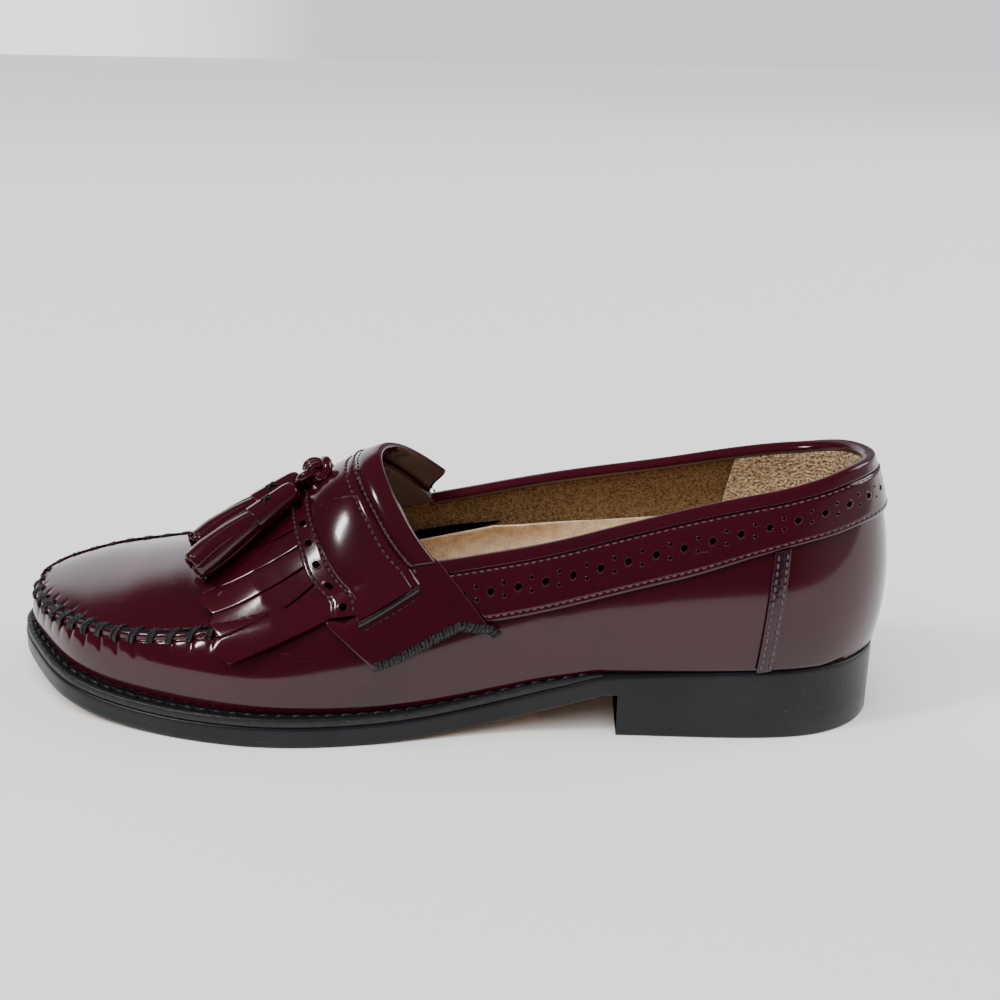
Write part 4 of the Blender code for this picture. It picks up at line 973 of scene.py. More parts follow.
# %% Lengths along the seam
STITCH_PITCH, SEAM_START = 0.0067, 0.604
ROLL_HEIGHT, VAMP_ROLL, PLUG_ROLL = 0.0013, 0.0015, 0.0016
PUCKER_REACH, PUCKER_SWELL, PUCKER_DEPTH = 0.0082, 0.00016, 0.00060
UPPER_LEATHER, TRIM_LEATHER, LINING_LEATHER = 0.0009, 0.0011, 0.0008
seam_t = np.linspace(0.1, 0.9, 8001)
seam_path = contour("top", seam_t)
seam_run = travel(seam_path)


def seam_length(t):
    """Distance along the seam from its own start on the outer side, in metres; t may be any share of the ring."""
    first = np.interp(row_at(SEAM_START), seam_t, seam_run)
    return np.interp(np.mod(t, 1.0), seam_t, seam_run) - first


SEAM_TOTAL = float(seam_length(1 - row_at(SEAM_START)))
STITCHES = int(SEAM_TOTAL / STITCH_PITCH)
PITCH = SEAM_TOTAL / STITCHES
print("seam: %.3f m, %d stitches" % (SEAM_TOTAL, STITCHES))


def seam_presence(t):
    """1 where the raised seam shows, 0 behind the kiltie's band and over the collar."""
    s = HEEL_LENGTH / 2 - contour("top", t)[..., 0]
    return fade(s / LENGTH, 0.60, 0.63)


def from_stitch(t, slant=0.0):
    """Signed distance along the seam to the nearest stitch; slant shifts the stitches' places."""
    phase = (seam_length(t) + slant) / PITCH - 0.5
    return (phase - np.round(phase)) * PITCH


def roll_height(t, distance, width):
    """The seam's roll: a round back of the given half width, drawn in where a stitch holds it."""
    held = np.exp(-(from_stitch(t) / 0.0011) ** 2)
    back = np.clip(1 - (distance / width) ** 2, 0, 1)
    return seam_presence(t) * (ROLL_HEIGHT * (1 - 0.40 * held)) * back


def pucker_height(t, below):
    """Crease under each stitch, which leans forward as it runs down, and the swelling between two creases."""
    near = from_stitch(t, slant=0.10 * below)
    crease = np.exp(-(near / (0.0005 + 0.06 * below)) ** 2)
    swell = np.cos(math.pi * near / PITCH) ** 2
    reach = np.clip(PUCKER_REACH - below, 0, None) / PUCKER_REACH
    come = fade(below, 0.0016, 0.0032)
    return seam_presence(t) * come * reach * (PUCKER_SWELL * (1 - swell) - PUCKER_DEPTH * crease)


def seam_inset(t, distance):
    """Places (row, k) of the plug at a distance inside the seam's line, found by Newton's method from two sides."""
    s, y = outline(t, wall_table["top_in"](t) * WIDTH + distance)
    wanted = place(s, y, 0.0)[..., :2]
    row = np.minimum(np.minimum(t, 1 - t), 0.45)
    k = np.clip((t - 0.5) / 0.06, -1, 1)
    step = 1e-4
    for _ in range(24):
        miss = wanted - plug(row, k)[..., :2]
        slope_t = (plug(row + step, k) - plug(row - step, k))[..., :2] / (2 * step)
        slope_k = (plug(row, k + step) - plug(row, k - step))[..., :2] / (2 * step)
        size = slope_t[..., 0] * slope_k[..., 1] - slope_t[..., 1] * slope_k[..., 0]
        row = row + (miss[..., 0] * slope_k[..., 1] - miss[..., 1] * slope_k[..., 0]) / size
        k = k + (slope_t[..., 0] * miss[..., 1] - slope_t[..., 1] * miss[..., 0]) / size
    return row, k


# %% Vamp
vamp_start = row_at(0.1315)
thick = np.linspace(vamp_start, row_at(0.56), 150)[:-1]
fine = np.linspace(row_at(0.56), 0.5, 260)
half_t = np.concatenate([thick, fine])
vamp_t = np.concatenate([half_t, 1 - half_t[-2::-1]])
depth_share = np.linspace(0, 1, 54) ** 1.45
below = depth_share[None] * height_of_wall(vamp_t)[:, None]
t_grid = np.broadcast_to(vamp_t[:, None], below.shape)
height = roll_height(t_grid, below, VAMP_ROLL) + pucker_height(t_grid, below)
seam_groove = seam_presence(t_grid) * 0.0003 * np.exp(-((below - 0.0019) / 0.0004) ** 2)
surface = on_side(t_grid, below, 0.0)
outward = unit(on_side(t_grid, below, 1.0) - surface)
upward = edge_rise(vamp_t)[:, None]
lean = (np.clip(1 - below / VAMP_ROLL, 0, 1) * seam_presence(t_grid))[..., None]
direction = unit(outward * (1 - lean) + upward * lean)
points = surface + direction * (height - seam_groove)[..., None]
uv = pair(t_grid * AROUND, below)
# the vamp turns near black within about a millimetre below the seam, on the roll's top
vamp_leather = burgundy("vamp_leather", edge_dark=(0.0009, 0.0003))
vamp = leather_piece("vamp", points, vamp_leather, uv, UPPER_LEATHER, "leather", "upper", flip=True)
print("vamp faces:", len(vamp.data.polygons))

# %% Quarters' back
back_t = np.linspace(-vamp_start, vamp_start, 160)
below = np.linspace(0, 1, 44)[None] * height_of_wall(back_t)[:, None]
t_grid = np.broadcast_to(back_t[:, None], below.shape)
counter = leather_piece("heel_counter", on_side(t_grid, below), leather, pair(t_grid * AROUND, below), UPPER_LEATHER,
                        "leather", flip=True)
print("heel counter faces:", len(counter.data.polygons))

# %% Plug
# rows run from seam to seam; near the seam they follow it, and between they are straight in (row, k)
plug_t = np.linspace(row_at(PLUG_REAR), 0.5, 330)
steps_in = np.array([0.0, 0.0004, 0.0008, 0.0012, 0.0016, 0.0021, 0.0027, 0.0034, 0.0042, 0.0050])
rear_width = np.linalg.norm(contour("top", plug_t[0]) - contour("top", 1 - plug_t[0]))


def border(t, distance):
    """Places on the plug at some distances inside the seam for each t: (t, distance) grids of row and k."""
    t, distance = np.broadcast_arrays(np.asarray(t, float)[:, None], np.asarray(distance, float)[None])
    row, k = seam_inset(t, np.maximum(distance, 1e-6))
    behind = fade(np.minimum(t, 1 - t), plug_t[0] + 0.004, plug_t[0])
    straight = np.sign(t - 0.5) * (1 - 2 * distance / rear_width)
    return row * (1 - behind) + np.minimum(t, 1 - t) * behind, k * (1 - behind) + straight * behind


outer_row, outer_k = border(plug_t, steps_in)
inner_row, inner_k = border(1 - plug_t, steps_in)
share = np.linspace(0, 1, 76)[1:-1]
middle_row = outer_row[:, -1:] + (inner_row[:, -1:] - outer_row[:, -1:]) * share
middle_k = outer_k[:, -1:] + (inner_k[:, -1:] - outer_k[:, -1:]) * share
rows = np.concatenate([outer_row, middle_row, inner_row[:, ::-1]], 1)
ks = np.concatenate([outer_k, middle_k, inner_k[:, ::-1]], 1)
nearest = np.concatenate([steps_in, np.full(len(share), 0.02), steps_in[::-1]])
inner_side = np.arange(len(nearest)) >= len(steps_in) + len(share)
own_t = np.where(inner_side, 1 - plug_t[:, None], plug_t[:, None])
tucked = fade(nearest, 0.0048, 0.0030) * fade(nearest, 0.0008, 0.0016)
tucks = 0.00012 * np.exp(-(from_stitch(own_t) / 0.0009) ** 2) * tucked
height = roll_height(own_t, nearest, PLUG_ROLL) - seam_presence(own_t) * tucks
lean = (np.clip(1 - nearest / PLUG_ROLL, 0, 1) * seam_presence(own_t))[..., None]
direction = unit(plug_normal(rows, ks) * (1 - lean) + edge_rise(own_t) * lean)
points = plug(rows, ks) + direction * height[..., None]
uv = pair(own_t * AROUND, nearest)
# the plug turns near black within about 1.4 mm inside the seam, on the roll's top
plug_leather = burgundy("plug_leather", edge_dark=(0.0014, 0.0006))
plug_piece = leather_piece("plug", points, plug_leather, uv, UPPER_LEATHER, "leather")
print("plug faces:", len(plug_piece.data.polygons))

# %% Whip stitches of the seam
# three strands make one stitch: each starts on the plug, climbs over the roll, comes down on the vamp and dips in
seam_rng = np.random.default_rng(3)
stitch_s = (np.arange(STITCHES) + 0.5) * PITCH + float(np.interp(row_at(SEAM_START), seam_t, seam_run))
STRAND_STEP, STRAND_JITTER, STRAND_RADIUS = 0.0009, 0.00025, 0.00047
beside = (-STRAND_STEP, 0.0, STRAND_STEP) + seam_rng.uniform(-STRAND_JITTER, STRAND_JITTER, (STITCHES, 3))
strand_s = (stitch_s[:, None] + beside).ravel()
strand_ahead = unit(read_path(seam_path, seam_run, strand_s + 0.001)
                    - read_path(seam_path, seam_run, strand_s - 0.001))
loose = seam_rng.uniform(0.85, 1.2, len(strand_s))


def on_seam(shift, inside, lift):
    """Places beside all strands: shifted along the seam, inside it on the plug (or below it on the vamp where
    negative), and lifted the way the roll stands."""
    t = np.interp(strand_s + shift, seam_run, seam_t)
    if inside < 0:
        return on_side(t, -inside * loose, lift * loose)
    return plug(*seam_inset(t, np.maximum(inside * loose, 1e-6))) + edge_rise(t) * (lift * loose)[:, None]


anchors = np.stack([on_seam(*where) for where in (
    (-0.0013, 0.0021, -0.0007), (-0.0011, 0.0017, 0.0004), (-0.0005, 0.0009, 0.0010), (0.0001, 0.0, 0.0013),
    (0.0005, -0.0009, 0.0010), (0.0008, -0.0018, 0.0006), (0.0010, -0.0026, 0.0002), (0.0011, -0.0032, -0.0010),
)], 1)
threads, radius = through(anchors, 19), STRAND_RADIUS * rounded_ends(19)
whip = thread_mesh("moccasin_whip_stitches", threads, radius, strand_ahead, black_thread, corners=8)
dress(whip, "leather")
print("whip stitches:", STITCHES, "of 3 strands")

# %% [markdown]
# ## Lining
# Behind the leather lies a tan lining, seen through the opening. At the heel it is a rougher patch of its own,
# set flesh side out so that it grips the sock. The lining of the forepart makes the dark tunnel over the toes.

# %% Lining and heel grip
lining_t = np.linspace(0, 1, 361)[:-1]
below = np.linspace(0.0, 1, 40)[None] * height_of_wall(lining_t)[:, None]
t_grid = np.broadcast_to(lining_t[:, None], below.shape)
LINING_DEPTH = 0.0012
lining = leather_piece("quarter_lining", on_side(t_grid, below, -LINING_DEPTH), suede, pair(t_grid * AROUND, below),
                       LINING_LEATHER, "lining", side=1, close_rows=True)
row = np.linspace(row_at(PLUG_REAR), 0.4985, 90)
k = np.linspace(-1, 1, 61)
over, ks = np.broadcast_arrays(row[:, None], k[None])
points = plug(over, ks) - plug_normal(over, ks) * LINING_DEPTH
plug_lining = leather_piece("plug_lining", points, suede, pair(over, ks), LINING_LEATHER, "lining", side=1, flip=True)
grip_below = np.broadcast_to(0.0015 + 0.0505 * np.linspace(0, 1, 30)[None], (140, 30))
grip_t = np.linspace(-1, 1, 140)[:, None] * (0.092 + 0.225 * grip_below)
grip = leather_piece("heel_grip", on_side(grip_t, grip_below, -WALL - 0.0014), heel_suede, pair(grip_t, grip_below),
                     LINING_LEATHER, "lining", bevel=0.0002)
# the lower lining panel: a smoother, paler piece whose top edge stands a little off the wall
sock_t = np.linspace(-0.285, 0.285, 340)[:, None]
sock_low = height_of_wall(sock_t) - 0.004
sock_top = np.interp(np.abs(sock_t), (0.0, 0.10, 0.163, 0.188, 0.215, 0.25, 0.285),
                     (0.026, 0.0245, 0.0215, 0.0185, 0.0152, 0.0168, 0.0172))
sock_below = sock_top + (sock_low - sock_top) * np.linspace(0, 1, 24)[None] ** 1.5
off = -WALL - 0.0010 - 0.0032 * np.exp(-((sock_below - sock_top) / 0.004) ** 2) * fade(np.abs(sock_t), 0.16, 0.21)
leather_piece("lower_lining", on_side(sock_t, sock_below, off), insole_tan, pair(sock_t, sock_below), LINING_LEATHER,
              "lining", bevel=0.0002)
# painted shade: the pocket between the two linings, open at the front, is closed by thin near-black matte sheets that
# stand in for the shade inside it
pocket_shade_finish = plain_finish("painted_pocket_shade", (0.004, 0.003, 0.002, 1), (0.001, 0.001, 0.001, 1), 1.0, 0.0002,
                          specular=0.0)
slot_t = np.linspace(0.212, 0.285, 60)[:, None]
slot_top = np.interp(slot_t, (0.212, 0.235, 0.285), (0.0150, 0.0138, 0.0140))
slot_foot = np.interp(slot_t, (0.212, 0.25, 0.285), (0.0156, 0.0185, 0.0190))
slot_below = slot_top + (slot_foot - slot_top) * np.linspace(0, 1, 8)[None]
for name, sign in (("outer", 1), ("inner", -1)):
    points = on_side(sign * slot_t, slot_below, -WALL - 0.0008)
    leather_piece("painted_shade_sheet_" + name, points, pocket_shade_finish, pair(sign * slot_t, slot_below), 0.0003, "lining",
                  bevel=0.00005, side=1, flip=sign < 0)
print("lining faces:", len(lining.data.polygons), len(plug_lining.data.polygons), len(grip.data.polygons))

# %% [markdown]
# ## Collar
# A perforated band runs round the top of the quarters. Its lower edge is folded under and stitched, its upper edge
# is caught by a bound roll. The holes are big ones in a row with pairs of small ones between them, punched before
# the band is sewn on, so they follow its length: they are drawn from the band's own UV, which is in metres.

# %% Perforated band
BINDING_DEPTH, OVERLAY = 0.0035, 0.0012
BAND_FRONT = (0.475, 0.435)  # where its upper and its lower edge end, as shares of LENGTH
BAND_ROWS = (0.035, 0.905)  # the two stitch rows, as shares of its width
BAND_FACE = GAP + OVERLAY


def band_depth(t):
    """Distance from the collar's edge to the band's lower edge: it widens from the heel to the waist."""
    s = outline(t)[0]
    return BAND_DEPTH_BACK + (BAND_DEPTH_WAIST - BAND_DEPTH_BACK) * fade(s / LENGTH, 0.10, 0.24)


def band_place(along, share):
    """(t, below) on the band, along from -1 to 1 round the heel, share from its upper edge to its lower one: the
    front ends are slanted, so t stretches a little less along the lower edge."""
    t = along * row_at(BAND_FRONT[0] + (BAND_FRONT[1] - BAND_FRONT[0]) * share)
    start = BINDING_DEPTH + GAP
    return t, start + (band_depth(t) - start) * share


share = np.linspace(0, 1, 34)
t_grid, below = band_place(np.linspace(-1, 1, 420)[:, None], share)
edge = np.clip(np.abs(2 * share - 1) - 0.86, 0, 1) / 0.14
sunk = sum(0.00022 * np.exp(-((share - row) / 0.022) ** 2) for row in BAND_ROWS)
points = on_side(t_grid, below, BAND_FACE - 0.00035 * edge ** 3 - sunk)
run_round = travel(on_side(side_t, 0.011))
arc = np.interp(t_grid, side_t, run_round) - np.interp(0.0, side_t, run_round)
depth = (below - BINDING_DEPTH) / (band_depth(t_grid) - BINDING_DEPTH) * 0.0165
# the band's big and small holes have their insides painted near black as shade
band_leather = burgundy("perforated_band_leather", holes=(
    (0.0090, 0.25, 0.0072, 0.00112), (0.0090, 0.75, 0.0052, 0.00052), (0.0090, 0.75, 0.0092, 0.00052)))
leather_piece("collar_band_leather", points, band_leather, pair(arc, depth), TRIM_LEATHER, "leather", "collar_band",
              bevel=0.00025, flip=True)
print("band: %.3f m round the heel" % np.ptp(arc))

# %% Stitches of the band
lines = [line_with_normals(on_side, *band_place(np.linspace(-1, 1, 3000), row), BAND_FACE - 0.00015)
         for row in BAND_ROWS]
band_stitches = stitch_row("band_stitches", lines, pitch=0.0024, thickness=0.00050, material=dark_thread)
dress(band_stitches, "leather")
print("band stitches:", len(band_stitches.data.polygons) // 30)

# %% Bound roll
roll_t = np.linspace(-row_at(0.513), row_at(0.494), 440)
edge = on_side(roll_t, 0.0)
outward = unit(on_side(roll_t, 0.0, 1.0) - edge)
upward = edge_rise(roll_t)
outer_face, inner_face = GAP + 0.00095, -WALL - GAP - 0.0011
middle, reach = (outer_face + inner_face) / 2, (outer_face - inner_face) / 2
angle = np.linspace(0, math.pi, 13)
profile = np.concatenate([
    [(GAP, -BINDING_DEPTH), (outer_face - 0.0003, -BINDING_DEPTH), (outer_face, -BINDING_DEPTH + 0.0003),
     (outer_face, -BINDING_DEPTH + 0.0008), (outer_face, -0.001)],
    pair(middle + reach * np.cos(angle), 0.0013 * np.sin(angle)),
    [(inner_face, -0.001), (inner_face + 0.0006, -0.0019), (-WALL - GAP, -0.0020), (-WALL - GAP, GAP), (GAP, GAP)],
])
rings = edge[:, None] + outward[:, None] * profile[None, :, :1] + upward[:, None] * profile[None, :, 1:]
binding = dress(swept_body("collar_roll", rings, leather), "leather", "collar_binding")
print("roll faces:", len(binding.data.polygons))

# %% [markdown]
# ## Strips over the side seams
# Where the vamp meets the back part, a narrow strip covers the join on each side. Two rows of stitches hold it.
# It is a small rectangle laid on the wall by (t, below), from the band down to the sole.

# %% Side strips
SIDE_TOP, SIDE_FOOT, STRIP_WIDTH = 0.127, 0.138, 0.0052
strip_leather = plain_finish("inked_strip", (0.022, 0.004, 0.009, 1), (0.010, 0.003, 0.006, 1), 0.20, 0.0001,
                             cloud=60.0)


def strip_middle(share):
    """Ring parameter of the strip's middle line, from its top to the sole."""
    return row_at(SIDE_TOP) + (row_at(SIDE_FOOT) - row_at(SIDE_TOP)) * share


for name, sign in (("outer", 1), ("inner", -1)):
    share = np.linspace(0, 1, 60)[None]
    centre = strip_middle(share)
    across = np.linspace(-1, 1, 15)[:, None]
    t_grid = sign * (centre + across * STRIP_WIDTH / 2 / AROUND)
    start = band_depth(t_grid[7]) + GAP
    below = start + (height_of_wall(t_grid[7]) * 0.995 - start) * share
    swell = 0.0002 * np.exp(-(across / 0.3) ** 2) - 0.0004 * np.clip((np.abs(across) - 0.85) / 0.15, 0, 1) ** 2
    points = on_side(t_grid, below, BAND_FACE + swell)
    leather_piece("side_strip_leather_" + name, points, strip_leather, pair(across, below), TRIM_LEATHER,
                  "leather", "side_strip_" + name, bevel=0.0002, flip=sign > 0)
    line_share = np.linspace(0, 1, 400)
    line_centre, first = strip_middle(line_share), start.mean() + 0.0008
    line_below = first + (height_of_wall(sign * line_centre) * 0.985 - first) * line_share
    lines = [line_with_normals(on_side, sign * (line_centre + shift / AROUND), line_below, BAND_FACE)
             for shift in (-0.0014, 0.0014)]
    stitches = stitch_row("side_stitches_" + name, lines, pitch=0.0025, thickness=0.00080, material=dark_thread)
    dress(stitches, "leather")
print("side strips: 2")

# %% [markdown]
# ## Saddles and strap
# On each side a saddle lies over the wall, and the strap across the instep tucks into a slot in it. The slot has a
# raised lip with its own stitches. The saddle's bottom edge is sewn down by hand with thick black thread.

# %% Saddles
# the faces of saddles, strap and kiltie look at the foot, so that their leather's thickness stands outwards
SADDLE = np.array([
    # bottom along, bottom across, top along, top across: LENGTH shares and girth shares
    (0.554, 0.092, 0.602, 0.181), (0.542, 0.096, 0.581, 0.173), (0.528, 0.102, 0.560, 0.188),
    (0.512, 0.110, 0.541, 0.202), (0.497, 0.119, 0.519, 0.238), (0.487, 0.125, 0.507, 0.258),
    (0.465, 0.137, 0.498, 0.264), (0.433, 0.122, 0.488, 0.262),
])
corner_places = np.linspace(0, 1, len(SADDLE))
SIDES = (("outer", False), ("inner", True))


def mirrored(across, mirror):
    """Share of the girth on the outer side, or the same place on the inner side."""
    return 1 - across if mirror else across


def saddle_place(u, v):
    """(t, across) on the outer saddle: u 0 at its front edge, 1 at its rear one, v 0 at the bottom, 1 at the top."""
    low_along, low_across, top_along, top_across = (np.interp(u, corner_places, SADDLE[:, i]) for i in range(4))
    return row_at(low_along * (1 - v) + top_along * v), low_across * (1 - v) + top_across * v


u, v = np.meshgrid(np.linspace(0, 1, 127), np.linspace(0, 1, 40), indexing="ij")
saddle_t, saddle_across = saddle_place(u, v)
rim = np.clip(np.maximum(np.abs(2 * u - 1) - 0.985, np.abs(2 * v - 1) - 0.97) / 0.03, 0, 1)
for name, mirror in SIDES:
    points = on_skin(saddle_t, mirrored(saddle_across, mirror), BAND_FACE - 0.0003 * rim ** 2)
    saddle = leather_piece("saddle_leather_" + name, points, leather, pair(u, v), TRIM_LEATHER, "leather",
                           "saddle_" + name, bevel=0.0002, flip=mirror)
print("saddle faces:", len(saddle.data.polygons))

# %% Thick stitches under the saddles
rng = np.random.default_rng(7)
WHIP_PITCH, WHIP_JITTER, WHIP_LEAN, WHIP_RADIUS = 0.00125, 0.0002, 0.001, 0.00072
bottom_u, back = np.linspace(0, 1, 800), np.linspace(0, 1, 60)[1:]
for name, mirror in SIDES:
    line_t, line_across = saddle_place(bottom_u, 0.0 * bottom_u)
    line_t = np.concatenate([line_t, line_t[-1] - 0.0035 * back])
    line_across = np.concatenate([line_across, line_across[-1] - 0.012 * back])
    path, normals = line_with_normals(on_skin, line_t, mirrored(line_across, mirror), GAP)
    run = travel(path)
    count = int(run[-1] / WHIP_PITCH)
    where = (np.arange(count) + 0.5) * run[-1] / count + rng.uniform(-WHIP_JITTER, WHIP_JITTER, count)
    centre, up = read_path(path, run, where), unit(read_path(normals, run, where))
    along = unit(read_path(path, run, where + 0.001) - read_path(path, run, where - 0.001))
    down = np.cross(up, along)
    down = down * -np.sign(down[:, 2].mean())
    lean = rng.uniform(0.2, 1.0, count)[:, None] * WHIP_LEAN
    anchors = np.stack([
        centre + down * below + along * lean * ahead_by + up * lift for below, ahead_by, lift in
        ((-0.0018, 1.0, 0.0017), (-0.0010, 0.6, 0.0027), (0.0, 0.0, 0.0024), (0.0009, -0.6, 0.0011),
         (0.0014, -1.0, -0.0004))
    ], 1)
    threads = through(anchors, 11)
    dress(thread_mesh("saddle_whip_" + name, threads, WHIP_RADIUS * rounded_ends(11), along, black_thread), "leather")
print("saddle stitches:", count, "a side")

# %% Strap
STRAP_END = ((0.518, 0.580), (0.215, 0.176))
STRAP_THICKNESS, STRAP_LEATHER = 0.0016, 0.0014


def slant(across):
    """How far the strap is set back where it runs down into its slots, as a share of LENGTH."""
    return 0.014 * np.clip((0.30 - np.minimum(across, 1 - across)) / 0.085, 0, 1) ** 2


def strap_place(u, v):
    """(t, across) on the strap: u 0 at its rear edge and 1 at its front one, v from the outer end to the inner."""
    along = STRAP_REAR + (STRAP_FRONT - STRAP_REAR) * u
    end = np.interp(along, *STRAP_END)
    across = end + (1 - 2 * end) * v
    return row_at(along - slant(across)), across


u, v = np.meshgrid(np.linspace(0, 1, 44), np.linspace(0, 1, 180), indexing="ij")
strap_t, strap_across = strap_place(u, v)
rim = np.clip((np.abs(2 * u - 1) - 0.93) / 0.07, 0, 1)
crown = 0.0010 * (1 - (2 * u - 1) ** 2)
groove = 0.0003 * np.exp(-((u - 0.115) / 0.030) ** 2)
points = on_skin(strap_t, strap_across, GAP + STRAP_THICKNESS - 0.0004 * rim ** 2 + crown - groove)
strap = leather_piece("strap_leather", points, leather, pair(u, v), STRAP_LEATHER, "leather", "strap",
                      bevel=0.0003, flip=True)
print("strap faces:", len(strap.data.polygons))

# %% Corded seam behind the strap, and its stitches
row_thread = plain_finish("waxed_row_thread", (0.045, 0.026, 0.034, 1), (0.010, 0.006, 0.008, 1), 0.30, 0.0002,
                          cloud=500.0)
# its round section: (u, lift) of each corner, carried across the instep
CORD_SECTION = ((-0.075, 0.0006), (-0.03, 0.0021), (0.01, 0.0024), (0.05, 0.0021), (0.075, 0.0012), (0.0, 0.0))
v = np.linspace(0.0, 1.0, 420)
seam_rows = [on_skin(*strap_place(u_place, v), GAP + lift) for u_place, lift in CORD_SECTION]
dress(swept_body("corded_seam", np.stack(seam_rows, 1), leather), "leather")
lines = [line_with_normals(on_skin, *strap_place(u_place, np.linspace(0.03, 0.97, 420)), GAP + lift)
         for u_place, lift in ((0.115, 0.0031), (-0.085, 0.0033))]
dress(stitch_row("strap_stitches", lines, pitch=0.0024, thickness=0.00085, material=row_thread), "leather")
print("corded seam and", len(lines), "stitch rows")

# %% Lip of the slot
lip_leather = plain_finish("inked_lip", (0.016, 0.008, 0.011, 1), (0.007, 0.004, 0.005, 1), 0.24, 0.0001, cloud=120.0)
# the lip's section: (shift along the strap, lift) of each corner; its stitches run beyond it
LIP_SECTION = ((-0.001, 0.0004), (0.0010, 0.0024), (-0.0022, 0.0034), (-0.0078, 0.0034), (-0.0125, 0.0022),
               (-0.0120, 0.0004))
lip_t, lip_across = strap_place(np.linspace(-0.02, 1.02, 80), 0.0)
row_t, row_across = strap_place(np.linspace(0.0, 1.0, 200), 0.0)
for name, mirror in SIDES:
    rows = [on_skin(lip_t, mirrored(lip_across + shift, mirror), GAP + lift) for shift, lift in LIP_SECTION]
    dress(swept_body("slot_lip_" + name, np.stack(rows, 1), lip_leather), "leather")
    lines = [line_with_normals(on_skin, row_t, mirrored(row_across - 0.0200, mirror), BAND_FACE + TRIM_LEATHER)]
    stitches = stitch_row("slot_stitches_" + name, lines, pitch=0.0024, thickness=0.00060, material=black_thread)
    dress(stitches, "leather")
print("slot lips: 2")

# %% [markdown]
# ## Tongue
# Behind the strap the tongue ends in a fold of leather that stands a little off the instep. Its section is a flat
# hairpin: out over the crown and back under. Carried across the instep, the section becomes the whole fold.

# %% Tongue
TONGUE_THICKNESS, TONGUE_RISE, TONGUE_REACH = 0.0026, 0.0032, 0.0042
rear, strap_rear, plug_edge = row_at(TONGUE_REAR), row_at(STRAP_REAR), row_at(PLUG_REAR)
gap_t, under, mid = GAP / AROUND, TONGUE_RISE - TONGUE_THICKNESS, -TONGUE_THICKNESS + TONGUE_RISE / 2
hairpin = np.array([
    # t, lift, how far it is towards the free rear edge
    (plug_edge - 2 * gap_t, mid, 0.0), (plug_edge - 2 * gap_t, 0.0, 0.0), (strap_rear - 2 * gap_t, 0.0, 0.1),
    (strap_rear - 3 * gap_t, TONGUE_RISE, 0.1), (rear + 0.0070, TONGUE_RISE, 0.5), (rear + 0.0020, TONGUE_RISE, 0.85),
    (rear + 0.0006, TONGUE_RISE - 0.0004, 0.95), (rear, TONGUE_RISE - TONGUE_THICKNESS / 2, 1.0),
    (rear + 0.0006, under + 0.0004, 0.95), (rear + 0.0020, under, 0.85), (rear + 0.0070, under, 0.5),
    (strap_rear - 3 * gap_t, mid, 0.1),
])
share = np.linspace(0, 1, 120)[:, None]
t, lift, free = hairpin.T[:, None]
k = -0.995 + share * (1.985 - 0.15 * free)
row = t - TONGUE_REACH / AROUND * free * share ** 2 - 0.0022 * np.clip(1 - share / 0.12, 0, 1) ** 2
rings = plug(row, k) + plug_normal(row, k) * lift[..., None]
tongue = dress(swept_body("tongue_fold", rings, leather), "leather", "tongue")
base_row, base_k = np.meshgrid(np.linspace(row_at(0.507), row_at(0.575), 24), np.linspace(-1, 1, 80), indexing="ij")
points = plug(base_row, base_k) - plug_normal(base_row, base_k) * 0.0010
leather_piece("tongue_base", points, leather, pair(base_row, base_k), 0.0022, "leather")
print("tongue faces:", len(tongue.data.polygons))

# %% [markdown]
# ## Kiltie
# The fringed apron over the plug: one piece of leather, perforated behind and slit in front into strips that fan out
# and end in points. All strips come from one table of places across the row and ahead; the slits are the thin gaps
# between them, and each strip curls up a little at its tip, so the light catches every edge.

# %% Kiltie band
FRINGE = np.array([
    # rear across, tip across, tip along
    (0.187, 0.110, 0.706), (0.262, 0.157, 0.720), (0.303, 0.215, 0.733), (0.350, 0.275, 0.745),
    (0.392, 0.350, 0.754), (0.445, 0.425, 0.759), (0.500, 0.500, 0.761),
])
slits = np.concatenate([FRINGE, FRINGE[-2::-1] * (-1, -1, 1) + (1, 1, 0)])
KILTIE_ROWS = (0.13, 0.90)
brogue_t = row_at(BROGUE_FRONT)
band_t0 = row_at(STRAP_FRONT) + 2 * GAP / AROUND
u, v = np.meshgrid(np.linspace(0, 1, 28), np.linspace(0, 1, 260), indexing="ij")
across = slits[0, 0] + (slits[-1, 0] - slits[0, 0]) * v


def set_back(across):
    """The strap's slant again, as a step of the ring parameter."""
    return row_at(STRAP_FRONT) - row_at(STRAP_FRONT - slant(across))


t_grid = band_t0 + (brogue_t - band_t0) * u - set_back(across)
grooves = sum(0.0003 * np.exp(-((u - row) / 0.05) ** 2) for row in KILTIE_ROWS)
points = on_skin(t_grid, across, BAND_FACE - grooves - 0.0002 * np.clip((u - 0.9) / 0.1, 0, 1))
row_length = float(travel(on_skin(band_t0, np.linspace(slits[0, 0], slits[-1, 0], 400)))[-1])
band_width = (brogue_t - band_t0) * AROUND
# the kiltie's holes have their insides painted near black as shade
kiltie_leather = burgundy("kiltie_band_leather", holes=((0.0083, 0.15, band_width * 0.52, 0.00130),))
leather_piece("kiltie_band", points, kiltie_leather, pair(v * row_length, u * band_width), TRIM_LEATHER, "leather",
              "kiltie", bevel=0.00015, flip=True)
print("kiltie band: %.1f by %.1f mm" % (row_length * 1000, band_width * 1000))

